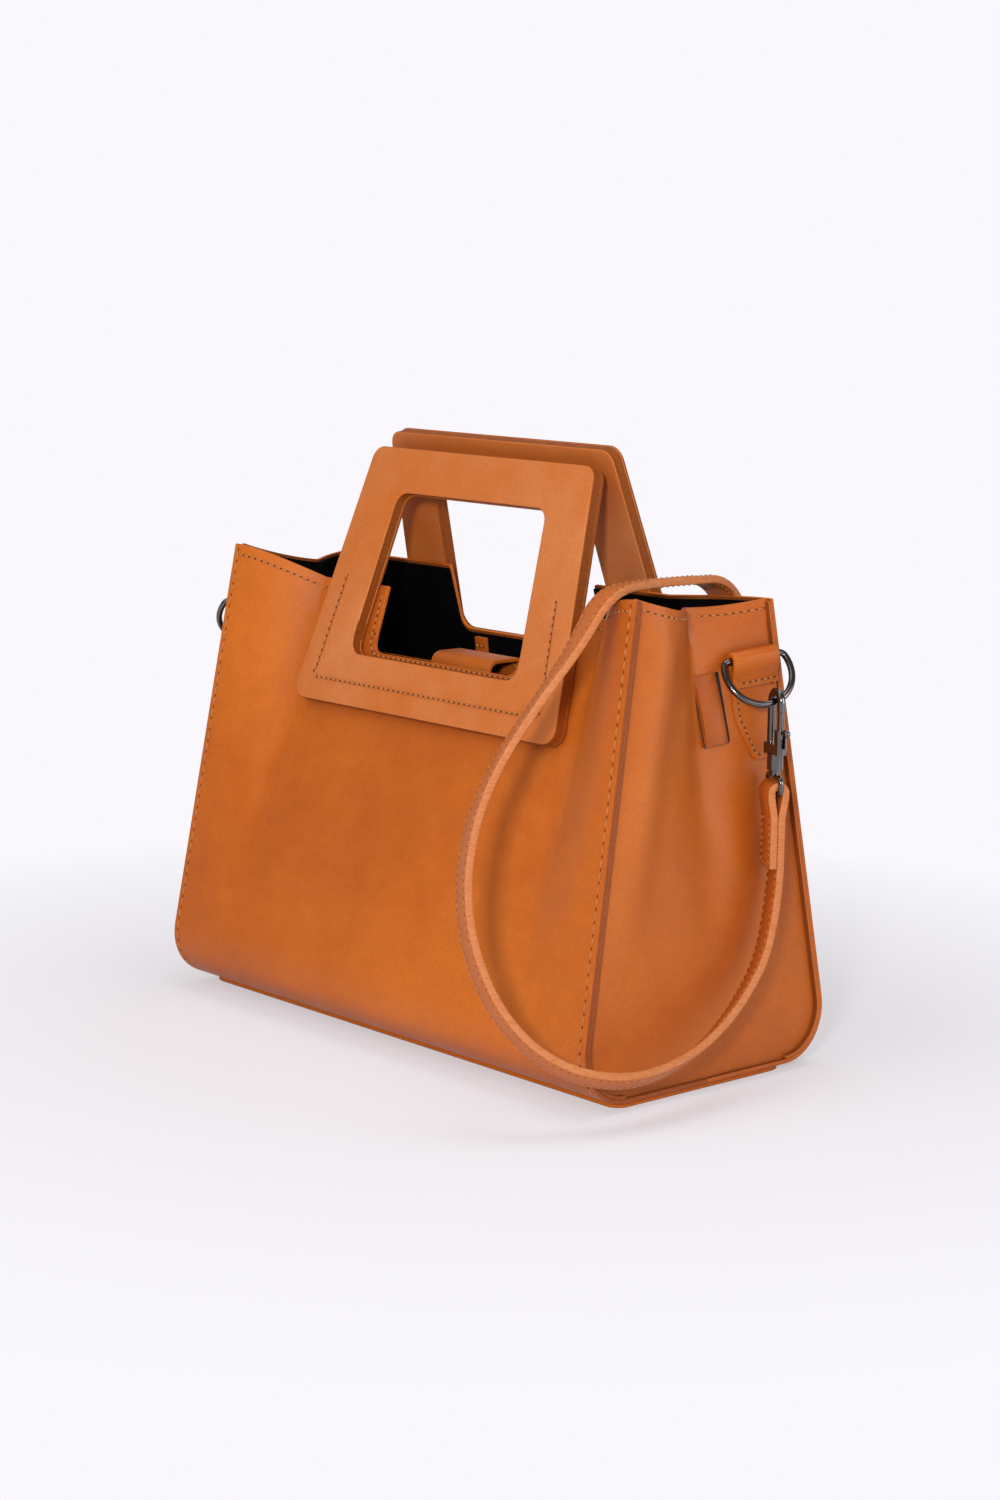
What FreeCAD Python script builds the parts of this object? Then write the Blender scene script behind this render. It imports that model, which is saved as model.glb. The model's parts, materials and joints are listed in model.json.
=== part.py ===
import FreeCAD, Part
import math
import os

from FreeCAD import Vector

# A structured leather top handle bag with a detachable shoulder strap.
# Millimetres, +Z up, +X to the wearer's right, front of the bag towards -Y.
# The origin is the middle of the base, on the surface that the bag stands on.

# Body of the bag
BASE_W = 300.0            # across the side seams at the base
TOP_W = 282.0             # across the side seams at the rim
BASE_D = 148.0            # front to back, at the fullest height
TOP_D = 83.5              # front to back at the rim's corners
FRONT_CORNER_H = 219.0    # rim height at the front corners
BACK_CORNER_H = 214.0     # rim height at the back corners
FRONT_RIM_H = 205.0       # rim height at the front handle
BACK_RIM_H = 213.0        # rim height at the back handle
BEND_R = 24.0             # roll of the panels under the base
LEATHER = 2.0             # front and back panels
GUSSET_LEATHER = 1.6      # side gussets
LINING = 0.8
LINING_DROP = 1.5         # lining stops this far below the rim
SEAM_FIN = 2.5            # panel edge standing out past the gusset
FOLD_IN = 18.0            # gusset's inward fold at the rim
FOLD_LOW_H = 105.0        # the fold starts at this height
FOLD_Y = 5.0              # valley of the fold, towards the back
FOLD_BULGE = 4.0          # swell of the front half beside the fold
FOLD_HOLD = 2.0           # strip along each side seam that the fold leaves straight
GUSSET_DIP = 6.0          # gusset's top edge sinks this far at the fold

# Base
BASE_PANEL_W = 292.0
BASE_PANEL_D = 104.0
BASE_PANEL_T = 3.5
BASE_PANEL_R = 7.0
BOARD_T = 2.2
BOARD_GAP = 3.0           # board and base lining stop this far from the side gussets

# Handles: trapezoid frames of three layers, sewn to the panels
HANDLE_BASE_W = 186.0
HANDLE_TOP_W = 153.0
HANDLE_H = 125.5          # measured up the slope of the handle
HANDLE_DROP = 60.0        # how far the handle reaches below the rim
HANDLE_CORNER_R = 7.0
GRIP_BASE_W = 118.0       # hand opening
GRIP_TOP_W = 103.0
GRIP_LOW = 25.0           # lower bar
GRIP_HIGH = 104.0         # underside of the grip bar, from the handle's foot
GRIP_CORNER_R = 7.0
HANDLE_SKIN = 1.8         # leather on each face
HANDLE_CORE = 3.6         # stiff board
FRONT_GRIP_Y = -0.76      # front handle's inner face at its top, from the bag's middle
BACK_GRIP_Y = 2.69        # the same at the back
HANDLE_SIDE_ROOM = 5.0    # flat panel left beside the handle's foot
CUT_INSET = 8.5           # panel showing inside the hand opening, at the sides
CUT_LIFT = 3.0            # the same at the bottom
CUT_CORNER_R = 6.0

# Ring tab and ring, on the slanting back half of each gusset
TAB_W = 22.0
TAB_Y = 32.0              # tab's middle at the ring's bar
TAB_T = 2.4
TAB_H = 188.5             # height of the ring's bar
TAB_TAIL = 46.0           # tongue below the bar
TAB_LEAN = 7.0            # degrees, the tongue runs along the back seam
TAB_TIP_W = 9.0
TAB_TIP_R = 3.0
RING_WIRE = 3.0
RING_R = 15.7             # wire's centre line, curved side
RING_OFFSET = 6.8         # bar to the centre of the curved side
RING_CORNER_R = 3.0
RING_PLAY = 0.35          # ring bar in its leather loop
LOOP_LIFT = 0.3           # loop's back off the gusset
RING_TILT = 30.0          # degrees, the hook holds the ring out from its tongue
RING_SLIDE = 3.5          # hook hangs this far from the ring's middle

# Snap hook: body, sliding gate, swivel eye
HOOK_WIRE = 3.6
HOOK_IN_R = 2.6           # inside of the hook's bend
HOOK_LEN = 23.0           # ring wire to the foot of the hook
HOOK_NOSE = 4.0           # nose below the bend's centre
HOOK_BLOCK_H = 4.5
HOOK_BLOCK_D = 5.2
GATE_D = 3.0
GATE_FIT = 0.1            # radial clearance of the gate in its barrel
GATE_GAP = 0.3            # gate tip to nose, and gate foot to spring
GATE_TRAVEL = 6.0
GATE_BARREL_D = 5.4
GATE_BARREL_H = 11.0
GATE_FLOOR = 0.6          # metal under the gate's bore
GATE_LEN = 11.6
KNOB_D = 2.0
KNOB_OUT = 3.2            # thumb knob past the barrel
SPRING_WIRE = 0.4
SPRING_TURNS = 5
BOSS_D = 7.0
BOSS_H = 7.0
POST_D = 3.0
POST_FIT = 0.1
POST_HEAD_D = 5.0
POST_HEAD_H = 2.2
POST_ROOM = 0.3           # clearance round the post's head
EYE_WIRE = 2.4
EYE_IN_W = 15.2
EYE_DROP = 6.9            # upper bar to lower bar
EYE_NECK = 1.6            # collar under the boss
EYE_TURN = -9.0           # degrees the eye is turned in the hook, at rest

# Shoulder strap
STRAP_W = 14.5
STRAP_T = 3.4
STRAP_PLAY = 0.3          # strap fold round the eye's bar
STRAP_FOLD = 35.0         # length sewn back on itself
STRAP_NECK = 11.0         # fold closes this far under the bar
STRAP_TWIST_FROM = 0.50   # shares of the length between which the strap twists
STRAP_TWIST_TO = 0.90

# Cinch band through two slits beside the fold in each gusset
BAND_Y = 12.0
BAND_W = 11.5
BAND_MID_H = 166.0
BAND_H = 31.0
BAND_T = 1.4
BAND_IN = 6.0             # ends inside the gusset
SLIT_PLAY = 0.25

# Zip pouch standing inside
POUCH_Y = -6.0
POUCH_W = 190.0
POUCH_BASE_T = 20.0
POUCH_TOP_T = 13.5
POUCH_H = 160.0
POUCH_WALL = 1.5
POUCH_LIFT = 0.3          # above the base lining
TOOTH_X = 1.6
TOOTH_Y = 2.2
TOOTH_Z = 2.0
TOOTH_PITCH = 4.0
ZIP_GAP = 4.8             # between the two rows, drawn apart
ZIP_END = 9.0             # from the pouch's end to the first tooth
TAPE_T = 0.6
SLIDER_L = 9.0
SLIDER_W = 9.8
SLIDER_T = 1.2
SLIDER_PLAY = 0.3
PULL_L = 22.0
PULL_W = 6.0
PULL_T = 1.4
PULL_PIN_D = 1.4
PULL_PIN_FIT = 0.1
PULL_EYE_WALL = 0.5

# Closing tab over the pouch, with a flat magnetic snap
CLOSE_W = 41.0
CLOSE_T = 2.0
CLOSE_OVER = 6.5          # clearance over the zip for the slider and its pull
CLOSE_FRONT = 11.5        # front end hangs this far below the pouch's top edge
CLOSE_BACK = 24.0         # sewn part on the pouch's back
CLOSE_SIDE = 2.9          # stands off the pouch's front for the snap
CLOSE_CORNER_R = 5.0
HINGE_SLOT = 0.4          # crease between the sewn part and the lifting part
SNAP_D = 8.0
SNAP_T = 1.2
SNAP_GAP = 0.3

# Key leash on the back lining
LEASH_X = -36.0
LEASH_W = 8.0
LEASH_T = 2.0
LEASH_L = 48.0
LEASH_BELOW_CUT = 3.0     # under the lower edge of the back panel's cut-out
LEASH_ANCHOR_H = 8.0
CLIP_R = 7.0
CLIP_WIRE = 2.0
CLIP_PLAY = 0.3

# Strap route between its two sewn ends, over the mouth and behind the bag
ROUTE = [
    (158.5, 27.0, 65.0),
    (163.0, 5.0, 42.0),
    (167.0, -20.0, 28.0),
    (170.0, -48.0, 21.0),
    (168.5, -76.0, 21.0),
    (156.0, -99.0, 29.0),
    (140.0, -113.0, 47.0),
    (126.0, -118.0, 72.0),
    (117.0, -116.5, 98.0),
    (111.5, -107.0, 126.0),
    (110.0, -92.0, 150.0),
    (112.5, -72.0, 174.0),
    (117.0, -54.0, 197.0),
    (120.8, -40.9, 220.0),
    (122.0, -17.0, 222.5),
    (120.5, 6.0, 222.0),
    (117.0, 28.6, 220.8),
    (112.0, 47.0, 206.2),
    (105.0, 61.0, 183.0),
    (95.0, 77.0, 156.0),
    (81.0, 91.0, 128.0),
    (63.0, 101.0, 100.0),
    (40.0, 107.0, 75.0),
    (13.0, 110.0, 54.0),
    (-17.0, 111.0, 39.0),
    (-48.0, 110.0, 29.5),
    (-79.0, 107.0, 25.0),
    (-110.0, 102.0, 24.0),
    (-139.0, 93.0, 25.0),
    (-161.0, 74.0, 27.0),
    (-172.5, 48.0, 31.0),
    (-173.5, 20.0, 39.0),
    (-167.0, -8.0, 52.0),
    (-160.5, -28.0, 70.0),
]

# Values that follow from the sizes above
FRONT = -1
BACK = 1
RIGHT = 1
LEFT = -1
TAPER = (BASE_W - TOP_W) / 2 / FRONT_CORNER_H
HANDLE_T = 2 * HANDLE_SKIN + HANDLE_CORE
FLAT_U = (HANDLE_BASE_W / 2 + HANDLE_SIDE_ROOM) / (TOP_W / 2)
GUSSET_U = 1 - SEAM_FIN / (BASE_W / 2)
LINING_U = GUSSET_U - (GUSSET_LEATHER + 1.2 * LINING) / (TOP_W / 2)
SIDE_US = [
    FLAT_U,
    FLAT_U + (LINING_U - FLAT_U) / 3,
    FLAT_U + (LINING_U - FLAT_U) * 2 / 3,
    LINING_U,
    GUSSET_U,
    1.0,
]
BODY_US = [-u for u in reversed(SIDE_US)] + SIDE_US
LINING_US = [u for u in BODY_US if abs(u) <= LINING_U]
BOARD_LOW = BASE_PANEL_T + LEATHER
FLOOR_H = BOARD_LOW + BOARD_T + LINING
X_AXIS = Vector(1, 0, 0)
Y_AXIS = Vector(0, 1, 0)
Z_AXIS = Vector(0, 0, 1)
ORIGIN = Vector(0, 0, 0)


def lean_to(rim_y, rim_h):
    """Centre of the roll under the base, and a panel's lean up to its rim, in radians."""
    centre = (BASE_D / 2 - BEND_R, BASE_PANEL_T + BEND_R)
    across, up = rim_y - centre[0], rim_h - centre[1]
    return centre, math.atan2(up, across) - math.acos(BEND_R / math.hypot(across, up))


def rim_reach(grip_y, rim_h):
    """The rim's distance from the middle that brings the handle's top to its place."""
    reach = grip_y
    for _ in range(60):
        _, angle = lean_to(reach, rim_h)
        reach = grip_y + (HANDLE_H - HANDLE_DROP) * math.sin(angle)
    return reach


FRONT_RIM_Y = rim_reach(FRONT_GRIP_Y, FRONT_RIM_H)
BACK_RIM_Y = rim_reach(BACK_GRIP_Y, BACK_RIM_H)


def rim_point(side, u):
    """Outer edge of the rim at u, from -1 at the left seam to 1 at the right seam."""
    spread = max(0.0, (abs(u) - FLAT_U) / (1 - FLAT_U))
    ease = math.sin(spread * math.pi / 2)
    middle_y = FRONT_RIM_Y if side == FRONT else BACK_RIM_Y
    middle_h = FRONT_RIM_H if side == FRONT else BACK_RIM_H
    corner_h = FRONT_CORNER_H if side == FRONT else BACK_CORNER_H
    return (middle_y + (TOP_D / 2 - middle_y) * ease, middle_h + (corner_h - middle_h) * ease)


def lean(side, u):
    """Centre of the roll under the base, and the panel's lean above it, in radians."""
    return lean_to(*rim_point(side, u))


def profile(side, u, depth, drop=0.0):
    """Points of a panel's section, depth under its outer face: seam, flat, roll, lean, rim."""
    (centre_y, centre_h), angle = lean(side, u)
    radius = BEND_R - depth
    half = (angle - math.pi / 2) / 2
    rim_y, rim_h = rim_point(side, u)
    outline = [
        (0.0, centre_h - radius),
        (centre_y, centre_h - radius),
        (centre_y + radius * math.cos(half), centre_h + radius * math.sin(half)),
        (centre_y + radius * math.cos(angle), centre_h + radius * math.sin(angle)),
        (rim_y - depth * math.cos(angle) + drop * math.sin(angle),
         rim_h - depth * math.sin(angle) - drop * math.cos(angle)),
    ]
    return [Vector(u * (BASE_W / 2 - TAPER * h), side * y, h) for y, h in outline]


def line(a, b):
    return Part.LineSegment(a, b).toShape()


def arc(a, b, c):
    return Part.Arc(a, b, c).toShape()


def wall(side, us, depth, thickness, drop=0.0):
    """A leather or lining panel between two depths under the outer face."""
    sections = []
    for u in us:
        a = profile(side, u, depth, drop)
        b = profile(side, u, depth + thickness, drop)
        sections.append(Part.Wire([
            line(a[0], a[1]), arc(a[1], a[2], a[3]), line(a[3], a[4]), line(a[4], b[4]),
            line(b[4], b[3]), arc(b[3], b[2], b[1]), line(b[1], b[0]), line(b[0], a[0]),
        ]))
    return Part.makeLoft(sections, True, True)


def inside(us, depth, drop=0.0):
    """The space inside the panels, depth under their outer faces."""
    sections = []
    for u in us:
        a = profile(FRONT, u, depth, drop)
        b = profile(BACK, u, depth, drop)
        sections.append(Part.Wire([
            line(a[4], a[3]), arc(a[3], a[2], a[1]), line(a[1], b[1]),
            arc(b[1], b[2], b[3]), line(b[3], b[4]), line(b[4], a[4]),
        ]))
    return Part.makeLoft(sections, True, True)


def rounded(points, radii):
    """Closed outline through the points in order, each corner rounded by its radius."""
    count = len(points)
    corners = []
    for i in range(count):
        here = points[i]
        back = (points[i - 1] - here).normalize()
        ahead = (points[(i + 1) % count] - here).normalize()
        half = back.getAngle(ahead) / 2
        reach = radii[i] / math.tan(half)
        middle = (back + ahead).normalize() * (radii[i] / math.sin(half) - radii[i])
        corners.append((here + back * reach, here + middle, here + ahead * reach))
    edges = []
    for i in range(count):
        edges.append(arc(*corners[i]))
        edges.append(line(corners[i][2], corners[(i + 1) % count][0]))
    return Part.Wire(edges)


def plate(points, radii, low, high):
    """A flat plate of an outline in XY, from low to high in Z."""
    blank = Part.Face(rounded([Vector(x, y, low) for x, y in points], radii))
    return blank.extrude(Vector(0, 0, high - low))


def block(x0, x1, y0, y1, z0, z1):
    return Part.makeBox(x1 - x0, y1 - y0, z1 - z0, Vector(x0, y0, z0))


def rod(start, end, diameter):
    return Part.makeCylinder(diameter / 2, (end - start).Length, start, end - start)


def bend(centre, axis, start, degrees, diameter):
    """A round bar bent about an axis, from a start point."""
    tangent = axis.cross(start - centre)
    disc = Part.Face(Part.Wire(Part.makeCircle(diameter / 2, start, tangent)))
    return disc.revolve(centre, axis, degrees)


def join(shapes):
    whole = shapes[0]
    for shape in shapes[1:]:
        whole = whole.fuse(shape)
    return whole.removeSplitter()


def placed(shape, placement):
    moved = shape.copy()
    moved.Placement = placement.multiply(moved.Placement)
    return moved


def turned_round(shape):
    """The same piece on the other side, half a turn round the bag's middle."""
    other = shape.copy()
    other.rotate(ORIGIN, Z_AXIS, 180)
    return other


def handle_placement(side):
    """Local X across, Y up the slope from the handle's foot, Z out of the panel's face."""
    _, angle = lean(side, 0.0)
    rim_y, rim_h = rim_point(side, 0.0)
    up = Vector(0, -side * math.sin(angle), math.cos(angle))
    out = Vector(0, side * math.cos(angle), math.sin(angle))
    across = up.cross(out)
    foot = Vector(0, side * rim_y, rim_h) - up * HANDLE_DROP
    return FreeCAD.Placement(FreeCAD.Matrix(
        across.x, up.x, out.x, foot.x,
        across.y, up.y, out.y, foot.y,
        across.z, up.z, out.z, foot.z))


def handle_layer(side, low, high):
    frame = [(-HANDLE_BASE_W / 2, 0), (HANDLE_BASE_W / 2, 0),
             (HANDLE_TOP_W / 2, HANDLE_H), (-HANDLE_TOP_W / 2, HANDLE_H)]
    grip = [(-GRIP_BASE_W / 2, GRIP_LOW), (GRIP_BASE_W / 2, GRIP_LOW),
            (GRIP_TOP_W / 2, GRIP_HIGH), (-GRIP_TOP_W / 2, GRIP_HIGH)]
    layer = plate(frame, [HANDLE_CORNER_R] * 4, low, high)
    opening = plate(grip, [GRIP_CORNER_R] * 4, low - HANDLE_T, high + HANDLE_T)
    return placed(layer.cut(opening), handle_placement(side))


def rim_cutter(side):
    """The cut in a panel and its lining inside the hand opening, open at the rim."""
    reach = 2 * HANDLE_DROP
    spread = (GRIP_BASE_W - GRIP_TOP_W) / 2 / (GRIP_HIGH - GRIP_LOW)
    low = GRIP_LOW + CUT_LIFT
    half = GRIP_BASE_W / 2 - CUT_INSET
    outline = [(-half, low), (half, low), (half + spread * CUT_LIFT, reach),
               (-half - spread * CUT_LIFT, reach)]
    cutter = plate(outline, [CUT_CORNER_R] * 4, -HANDLE_DROP / 2, HANDLE_T)
    return placed(cutter, handle_placement(side))


def panel(side):
    return wall(side, BODY_US, 0.0, LEATHER).cut(rim_cutter(side))


def panel_lining(side):
    cloth = wall(side, LINING_US, LEATHER, LINING, LINING_DROP)
    below = block(-BASE_W, BASE_W, -BASE_D, BASE_D, 0, FLOOR_H)
    return cloth.cut(below).cut(rim_cutter(side))


def seam_y(side, h):
    """Inner face of a panel at the gusset's edge, at a height above the roll."""
    points = profile(side, GUSSET_U, LEATHER)
    low, high = points[3], points[4]
    return low.y + (high.y - low.y) * (h - low.z) / (high.z - low.z)


def gusset_x(h):
    return GUSSET_U * (BASE_W / 2 - TAPER * h)


def fold_share(h):
    return max(0.0, (h - FOLD_LOW_H) / (FRONT_CORNER_H - FOLD_LOW_H))


def front_half(h, depth):
    """Points of the right gusset's swelling front half, from its seam to the valley."""
    edge = seam_y(FRONT, h) + FOLD_HOLD
    points = []
    for share in (0.0, 0.25, 0.5, 0.75, 1.0):
        swell = FOLD_BULGE * math.sin(math.pi * share) - FOLD_IN * share * share
        points.append(Vector(gusset_x(h) - depth + swell * fold_share(h),
                             edge + (FOLD_Y - edge) * share, h))
    return points


def back_half(y, h, depth=0.0):
    """A point of the right gusset's slanting back half."""
    edge = seam_y(BACK, h) - FOLD_HOLD
    share = (edge - y) / (edge - FOLD_Y)
    return Vector(gusset_x(h) - depth - FOLD_IN * fold_share(h) * share, y, h)


def gusset_sheet(depth, thickness):
    """The right gusset's sheet, folded in towards the rim, before it is trimmed."""
    top = FRONT_CORNER_H + GUSSET_DIP
    steps = 4
    heights = [0.0] + [FOLD_LOW_H + (top - FOLD_LOW_H) * i / steps for i in range(steps + 1)]
    sections = []
    for h in heights:
        edges = []
        for level in (depth, depth + thickness):
            swell = front_half(h, level)
            curve = Part.BSplineCurve()
            curve.interpolate(swell)
            hold = back_half(seam_y(BACK, h) - FOLD_HOLD, h, level)
            start = Vector(gusset_x(h) - level, -BASE_D, h)
            finish = Vector(gusset_x(h) - level, BASE_D, h)
            edges.append([line(start, swell[0]), curve.toShape(), line(swell[-1], hold),
                          line(hold, finish), start, finish])
        outer, inner = edges
        sections.append(Part.Wire(
            outer[:4] + [line(outer[5], inner[5])] + inner[3::-1] + [line(inner[4], outer[4])]))
    return Part.makeLoft(sections, True, True)


def at_right(shape, end):
    """What belongs to an end of the bag, turned to the right end if it stands at the left."""
    return shape if end == RIGHT else turned_round(shape)


def above_dip(drop, end):
    """What lies over the gusset's top edge, which sinks at the fold."""
    near_h, far_h = FRONT_CORNER_H, BACK_CORNER_H
    if end == LEFT:
        near_h, far_h = BACK_CORNER_H, FRONT_CORNER_H
    front = Vector(0, seam_y(FRONT, near_h), near_h - drop)
    back = Vector(0, seam_y(BACK, far_h), far_h - drop)
    middle = Vector(0, FOLD_Y, (near_h + far_h) / 2 - GUSSET_DIP - drop)
    high = Vector(0, 0, 4 * GUSSET_DIP)
    outline = Part.Wire([arc(front, middle, back), line(back, back + high),
                         line(back + high, front + high), line(front + high, front)])
    return Part.Face(outline).extrude(Vector(BASE_W, 0, 0))


def gusset(end):
    """An end's gusset, as it stands at the right; its edges reach the panels' own corners."""
    core_us = [end * u for u in [0.6 * FLAT_U] + SIDE_US]
    core = at_right(inside(core_us, LEATHER), end)
    sheet = gusset_sheet(0.0, GUSSET_LEATHER).common(core).cut(above_dip(0.0, end))
    edge_us = [end * GUSSET_U, end]
    flanges = [at_right(wall(side, edge_us, LEATHER, GUSSET_LEATHER), end) for side in (FRONT, BACK)]
    return join([sheet] + flanges).cut(slit_cutter())


def gusset_lining(end):
    core_us = [end * u for u in [0.6 * FLAT_U] + SIDE_US]
    core = at_right(inside(core_us, LEATHER + LINING), end)
    cloth = gusset_sheet(GUSSET_LEATHER, LINING).common(core).cut(above_dip(LINING_DROP, end))
    below = block(-BASE_W, BASE_W, -BASE_D, BASE_D, 0, FLOOR_H)
    return cloth.cut(below).cut(slit_cutter())


def seat(origin, above, beside):
    """Placement on a gusset: local X out of the leather, Y across, Z up."""
    up = (above - origin).normalize()
    out = (beside - origin).cross(up).normalize()
    across = up.cross(out)
    return FreeCAD.Placement(FreeCAD.Matrix(
        out.x, across.x, up.x, origin.x,
        out.y, across.y, up.y, origin.y,
        out.z, across.z, up.z, origin.z))


def seated(shape):
    """A piece on the right gusset, trimmed to lie on the leather."""
    return shape.cut(gusset_sheet(0.0, BEND_R / 2))


BAND_PLACE = seat(back_half(BAND_Y, BAND_MID_H), back_half(BAND_Y, BAND_MID_H + BAND_H / 2),
                  back_half(BAND_Y + BAND_W / 2, BAND_MID_H))
BAND_EDGES = (-BAND_W / 2, BAND_W / 2 - BAND_T)


def slit_cutter():
    """Two upright slits for the cinch band."""
    reach = BAND_H / 2 + SLIT_PLAY
    slits = [block(-2 * BAND_IN, 2 * BAND_IN, y - SLIT_PLAY, y + BAND_T + SLIT_PLAY, -reach, reach)
             for y in BAND_EDGES]
    return placed(Part.makeCompound(slits), BAND_PLACE)


def cinch_band():
    """A short band that comes out of one slit and goes in at the other."""
    half = BAND_H / 2
    strip = seated(placed(block(-2 * BAND_T, BAND_T, -BAND_W / 2, BAND_W / 2, -half, half),
                          BAND_PLACE))
    ends = [placed(block(-BAND_IN, BAND_T / 2, y, y + BAND_T, -half, half), BAND_PLACE)
            for y in BAND_EDGES]
    return join([strip] + ends)


def base_panel():
    half_w, half_d = BASE_PANEL_W / 2, BASE_PANEL_D / 2
    outline = [(-half_w, -half_d), (half_w, -half_d), (half_w, half_d), (-half_w, half_d)]
    return plate(outline, [BASE_PANEL_R] * 4, 0, BASE_PANEL_T)


def base_sheet(low, thickness):
    """A flat sheet lying inside the bag, on the panels' turned-under edges."""
    half_w = GUSSET_U * BASE_W / 2 - GUSSET_LEATHER - BOARD_GAP
    half_d = BASE_D / 2 - BEND_R
    return block(-half_w, half_w, -half_d, half_d, low, low + thickness)


LOOP_IN_R = RING_WIRE / 2 + RING_PLAY
LOOP_R = LOOP_IN_R + TAB_T
TAB_LEAN_Y = math.sin(math.radians(TAB_LEAN))
TAB_LEAN_Z = math.cos(math.radians(TAB_LEAN))
TAB_SEAT = back_half(TAB_Y, TAB_H)
TAB_TIP = back_half(TAB_Y + TAB_TAIL * TAB_LEAN_Y, TAB_H - TAB_TAIL * TAB_LEAN_Z)
TAB_PLACE = seat(TAB_SEAT, TAB_SEAT * 2 - TAB_TIP,
                 back_half(TAB_Y + TAB_LEAN_Z, TAB_H + TAB_LEAN_Y))
RING_PLACE = TAB_PLACE.multiply(
    FreeCAD.Placement(Vector(LOOP_R + LOOP_LIFT, 0, 0), FreeCAD.Rotation(Y_AXIS, -RING_TILT)))
# The hook hangs upright on the ring's curve, square to the ring
HOOK_REACH = RING_OFFSET + math.sqrt(RING_R ** 2 - RING_SLIDE ** 2)
HANG = RING_PLACE.multVec(Vector(0, RING_SLIDE, -HOOK_REACH))
TAB_OUT = TAB_PLACE.Rotation.multVec(X_AXIS)
HOOK_PLACE = FreeCAD.Placement(
    HANG - Z_AXIS * HOOK_LEN,
    FreeCAD.Rotation(Z_AXIS, math.degrees(math.atan2(TAB_OUT.y, TAB_OUT.x))))
EYE_PLACE = HOOK_PLACE.multiply(
    FreeCAD.Placement(ORIGIN, FreeCAD.Rotation(Z_AXIS, EYE_TURN)))
EYE_TOP = -BOSS_H - EYE_NECK - EYE_WIRE / 2
EYE_LOW = EYE_TOP - EYE_DROP


def ring_tab():
    """A tongue of leather folded round the ring's bar and sewn flat to the gusset."""
    half, tip = TAB_W / 2, TAB_TIP_W / 2
    outline = [(-half, 0), (-half, -TAB_TAIL / 2), (-tip, -TAB_TAIL), (tip, -TAB_TAIL),
               (half, -TAB_TAIL / 2), (half, 0)]
    radii = [TAB_TIP_R / 10, TAB_TAIL / 4, TAB_TIP_R, TAB_TIP_R, TAB_TAIL / 4, TAB_TIP_R / 10]
    tongue = plate(outline, radii, -2 * TAB_T, TAB_T)
    tongue.Placement = FreeCAD.Placement(FreeCAD.Matrix(0, 0, 1, 0, 1, 0, 0, 0, 0, 1, 0, 0))
    side = Vector(LOOP_R + LOOP_LIFT, -half, 0)
    loop = Part.makeCylinder(LOOP_R, TAB_W, side, Y_AXIS)
    bore = Part.makeCylinder(LOOP_IN_R, TAB_W, side, Y_AXIS)
    whole = join([seated(placed(tongue, TAB_PLACE)), placed(loop, TAB_PLACE)])
    return whole.cut(placed(bore, TAB_PLACE))


def d_ring():
    """A round wire ring with one straight side, in its own YZ plane below the bar."""
    centre = Vector(0, 0, -RING_OFFSET)
    level = RING_OFFSET - RING_CORNER_R
    straight = math.sqrt((RING_R - RING_CORNER_R) ** 2 - level ** 2)
    turn = 90 - math.degrees(math.atan2(level, straight))
    pieces = [rod(Vector(0, -straight, 0), Vector(0, straight, 0), RING_WIRE)]
    pieces.append(bend(Vector(0, straight, -RING_CORNER_R), -X_AXIS, Vector(0, straight, 0),
                       turn, RING_WIRE))
    pieces.append(bend(Vector(0, -straight, -RING_CORNER_R), X_AXIS, Vector(0, -straight, 0),
                       turn, RING_WIRE))
    side = Vector(0, straight, level).normalize() * RING_R
    pieces.append(bend(centre, -X_AXIS, centre + side, 360 - 2 * turn, RING_WIRE))
    ring = join(pieces)
    return placed(ring, RING_PLACE)


BEND_MID_R = HOOK_IN_R + HOOK_WIRE / 2


def hook_body():
    """Spine, bend and nose, with a barrel for the gate and a boss for the swivel."""
    spine_x, nose_x = -BEND_MID_R, BEND_MID_R
    top = Vector(0, 0, HOOK_LEN)
    spine = rod(Vector(spine_x, 0, 0), Vector(spine_x, 0, HOOK_LEN), HOOK_WIRE)
    crook = bend(top, Y_AXIS, Vector(spine_x, 0, HOOK_LEN), 180, HOOK_WIRE)
    nose = rod(Vector(nose_x, 0, HOOK_LEN - HOOK_NOSE), Vector(nose_x, 0, HOOK_LEN), HOOK_WIRE)
    barrel = rod(Vector(nose_x, 0, 0), Vector(nose_x, 0, GATE_BARREL_H), GATE_BARREL_D)
    foot = block(spine_x - HOOK_WIRE / 2, nose_x, -HOOK_BLOCK_D / 2, HOOK_BLOCK_D / 2,
                 0, HOOK_BLOCK_H)
    boss = rod(Vector(0, 0, -BOSS_H), Vector(0, 0, 0), BOSS_D)
    bore = rod(Vector(nose_x, 0, GATE_FLOOR), Vector(nose_x, 0, GATE_BARREL_H + 1),
               GATE_D + 2 * GATE_FIT)
    slot_half = KNOB_D / 2 + GATE_FIT
    slot = block(nose_x, nose_x + GATE_BARREL_D, -slot_half, slot_half,
                 knob_height() - GATE_TRAVEL - slot_half, GATE_BARREL_H + 1)
    post_bore = rod(Vector(0, 0, -BOSS_H - 1), Vector(0, 0, 0), POST_D + 2 * POST_FIT)
    head_room = rod(Vector(0, 0, -POST_HEAD_H - 2 * POST_ROOM), Vector(0, 0, 0),
                    POST_HEAD_D + 2 * POST_ROOM)
    body = join([spine, crook, nose, barrel, foot, boss])
    for hollow in (bore, slot, post_bore, head_room):
        body = body.cut(hollow)
    return placed(body, HOOK_PLACE)


def gate_tip():
    return HOOK_LEN - HOOK_NOSE - GATE_GAP


def knob_height():
    return gate_tip() - GATE_LEN + GATE_TRAVEL / 2


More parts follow.
